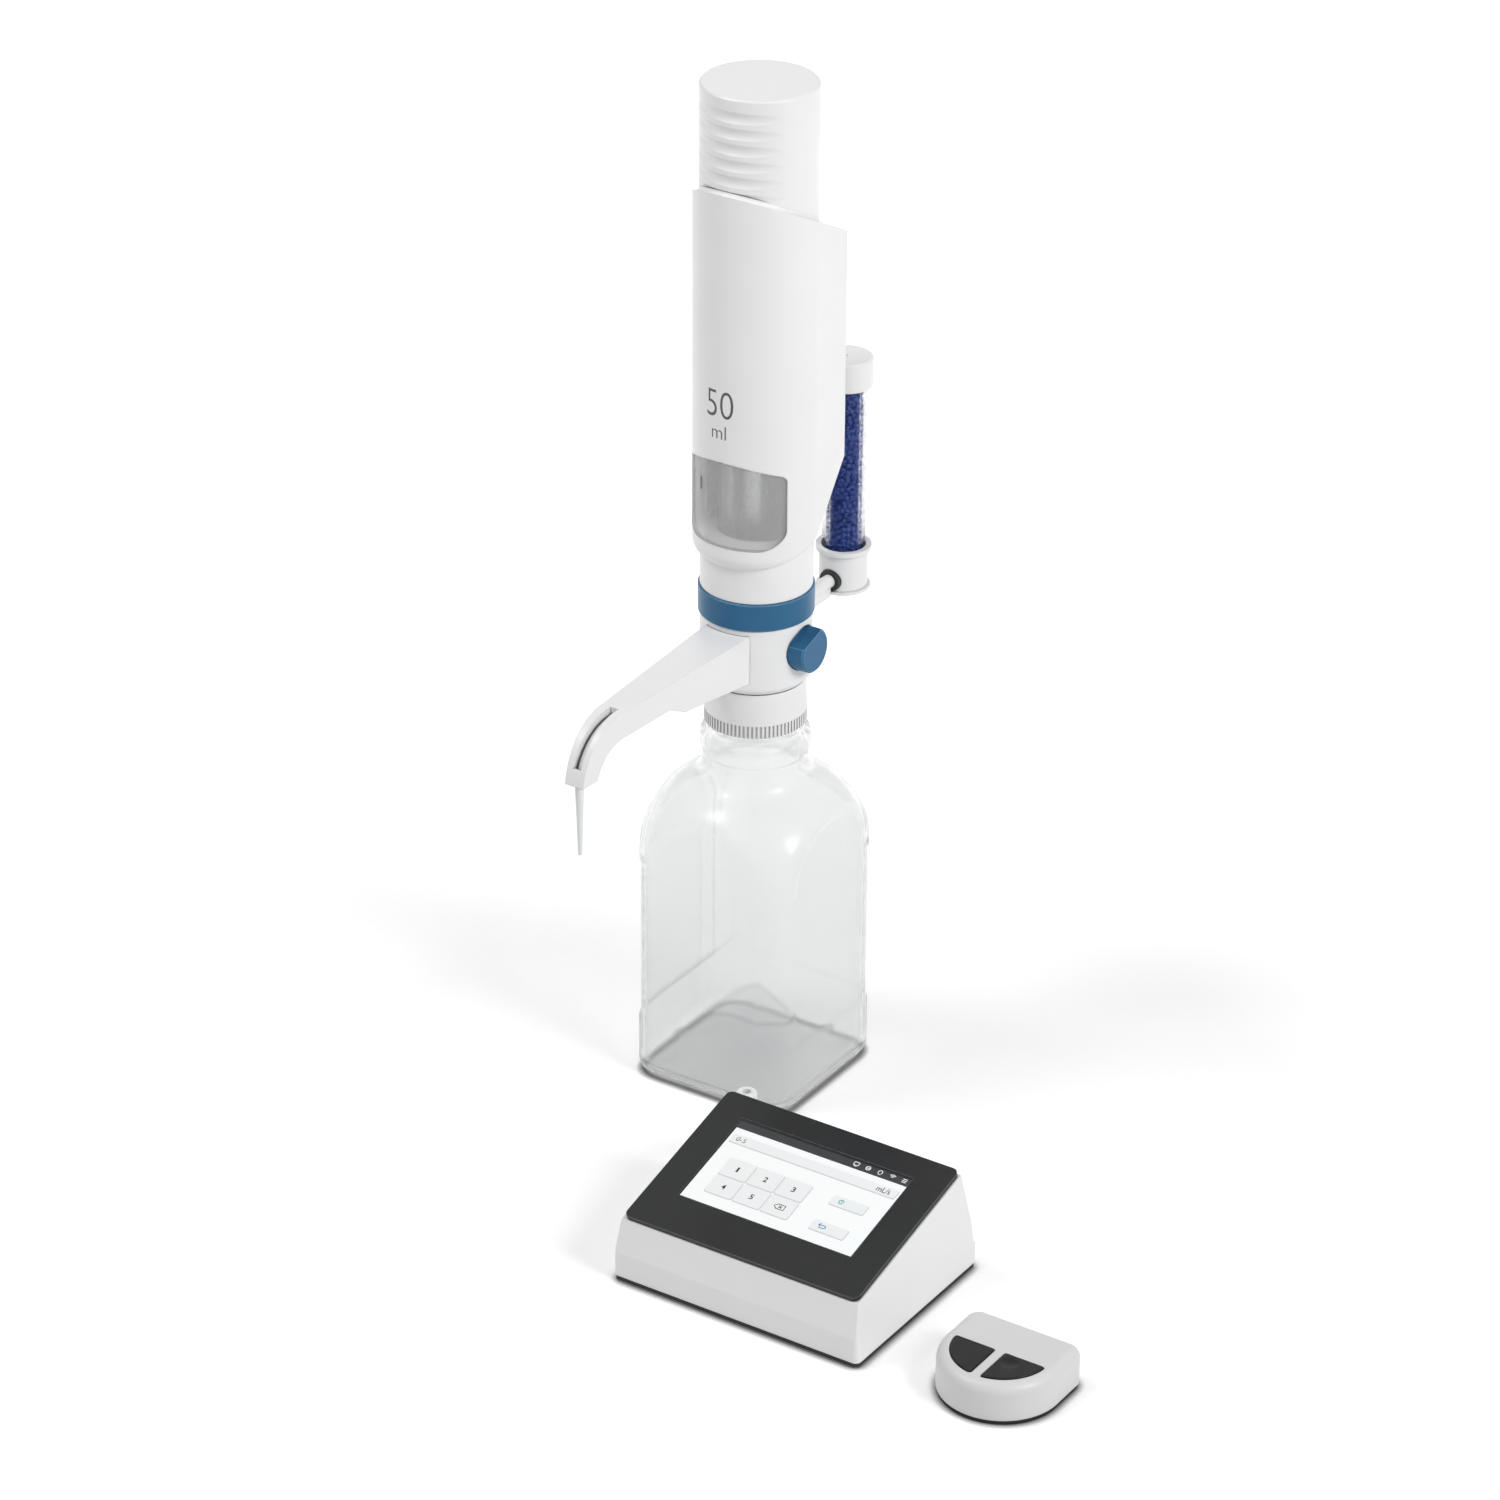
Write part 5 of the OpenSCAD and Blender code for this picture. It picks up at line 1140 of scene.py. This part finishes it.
def beadTree(s):
    # beads scattered over a core and pressed against the tube's inner wall
    tree = bpy.data.node_groups.new("silicaBeads", "GeometryNodeTree")
    newSocket(tree, "Geometry", "NodeSocketGeometry")
    newSocket(tree, "Geometry", "NodeSocketGeometry", "OUTPUT")
    inputs = {name: newSocket(tree, name, kind) for name, kind in beadInputs.items()}
    start = addNode(tree, "NodeGroupInput").outputs
    points = addNode(tree, "GeometryNodeDistributePointsOnFaces",
                     {"distribute_method": "POISSON", "Density Max": s["density"]},
                     {"Mesh": start["Geometry"], "Distance Min": start["Least gap"], "Seed": start["Seed"]})
    bead = addNode(tree, "GeometryNodeMeshIcoSphere", {"Subdivisions": 2}, {"Radius": start["Bead radius"]})
    least = addNode(tree, "ShaderNodeMath", {"operation": "SUBTRACT", 0: 1.0}, {1: start["Spread"]})
    most = addNode(tree, "ShaderNodeMath", {"operation": "ADD", 0: 1.0}, {1: start["Spread"]})
    size = addNode(tree, "FunctionNodeRandomValue", {"data_type": "FLOAT"},
                   {2: least.outputs[0], 3: most.outputs[0], "Seed": start["Seed"]})
    turn = addNode(tree, "FunctionNodeRandomValue", {"data_type": "FLOAT_VECTOR", 1: (s["turn"],) * 3},
                   {"Seed": start["Seed"]})
    copies = addNode(tree, "GeometryNodeInstanceOnPoints", {},
                     {"Points": points.outputs["Points"], "Instance": bead.outputs["Mesh"],
                      "Rotation": turn.outputs[0], "Scale": size.outputs[1]})
    real = addNode(tree, "GeometryNodeRealizeInstances", {}, {"Geometry": copies.outputs[0]})
    smooth = addNode(tree, "GeometryNodeSetShadeSmooth", {}, {"Geometry": real.outputs[0]})
    dressed = addNode(tree, "GeometryNodeSetMaterial", {},
                      {"Geometry": smooth.outputs[0], "Material": start["Finish"]})
    addNode(tree, "NodeGroupOutput", {}, {"Geometry": dressed.outputs[0]})
    return tree, inputs


def gelCore(s):
    mesh = bmesh.new()
    r, (x, y) = s["wallR"] - s["beadR"] * (1 + s["spread"]), s["tube"]
    rings = [(r, s["low"]), (r, s["high"])] + [(r * share, s["high"] + rise) for share, rise in s["crown"]]
    turns = turnsOf(s["coreSides"])
    levels = [[(x + k * math.cos(t), y + k * math.sin(t), z) for t in turns] for k, z in rings]
    loops = bridgeAll(mesh, levels)
    mesh.faces.new(loops[-1])
    mesh.faces.new(loops[0][::-1])
    return closeMesh(mesh, "gelCore")


def makeBeads(s):
    core = gelCore(s)
    carrier = newObject("gelBeads", core)
    modifier = carrier.modifiers.new("beads", "NODES")
    modifier.node_group, inputs = beadTree(s)
    values = {"Bead radius": s["beadR"] * mm, "Least gap": s["gap"] * mm, "Spread": s["spread"],
              "Seed": s["seed"], "Finish": finishes["silica"]}
    for name, value in values.items():
        modifier[inputs[name].identifier] = value
    data = bakedMesh(carrier)
    data.materials.clear()
    print("gel beads:", len(data.polygons), "faces")
    addPiece("gelBeads", data, "head", "silica", ["desiccant"])
    addPiece("gelCore", core, "head", "silica_core")


makeBeads(beadSizes)
print("silica gel made")
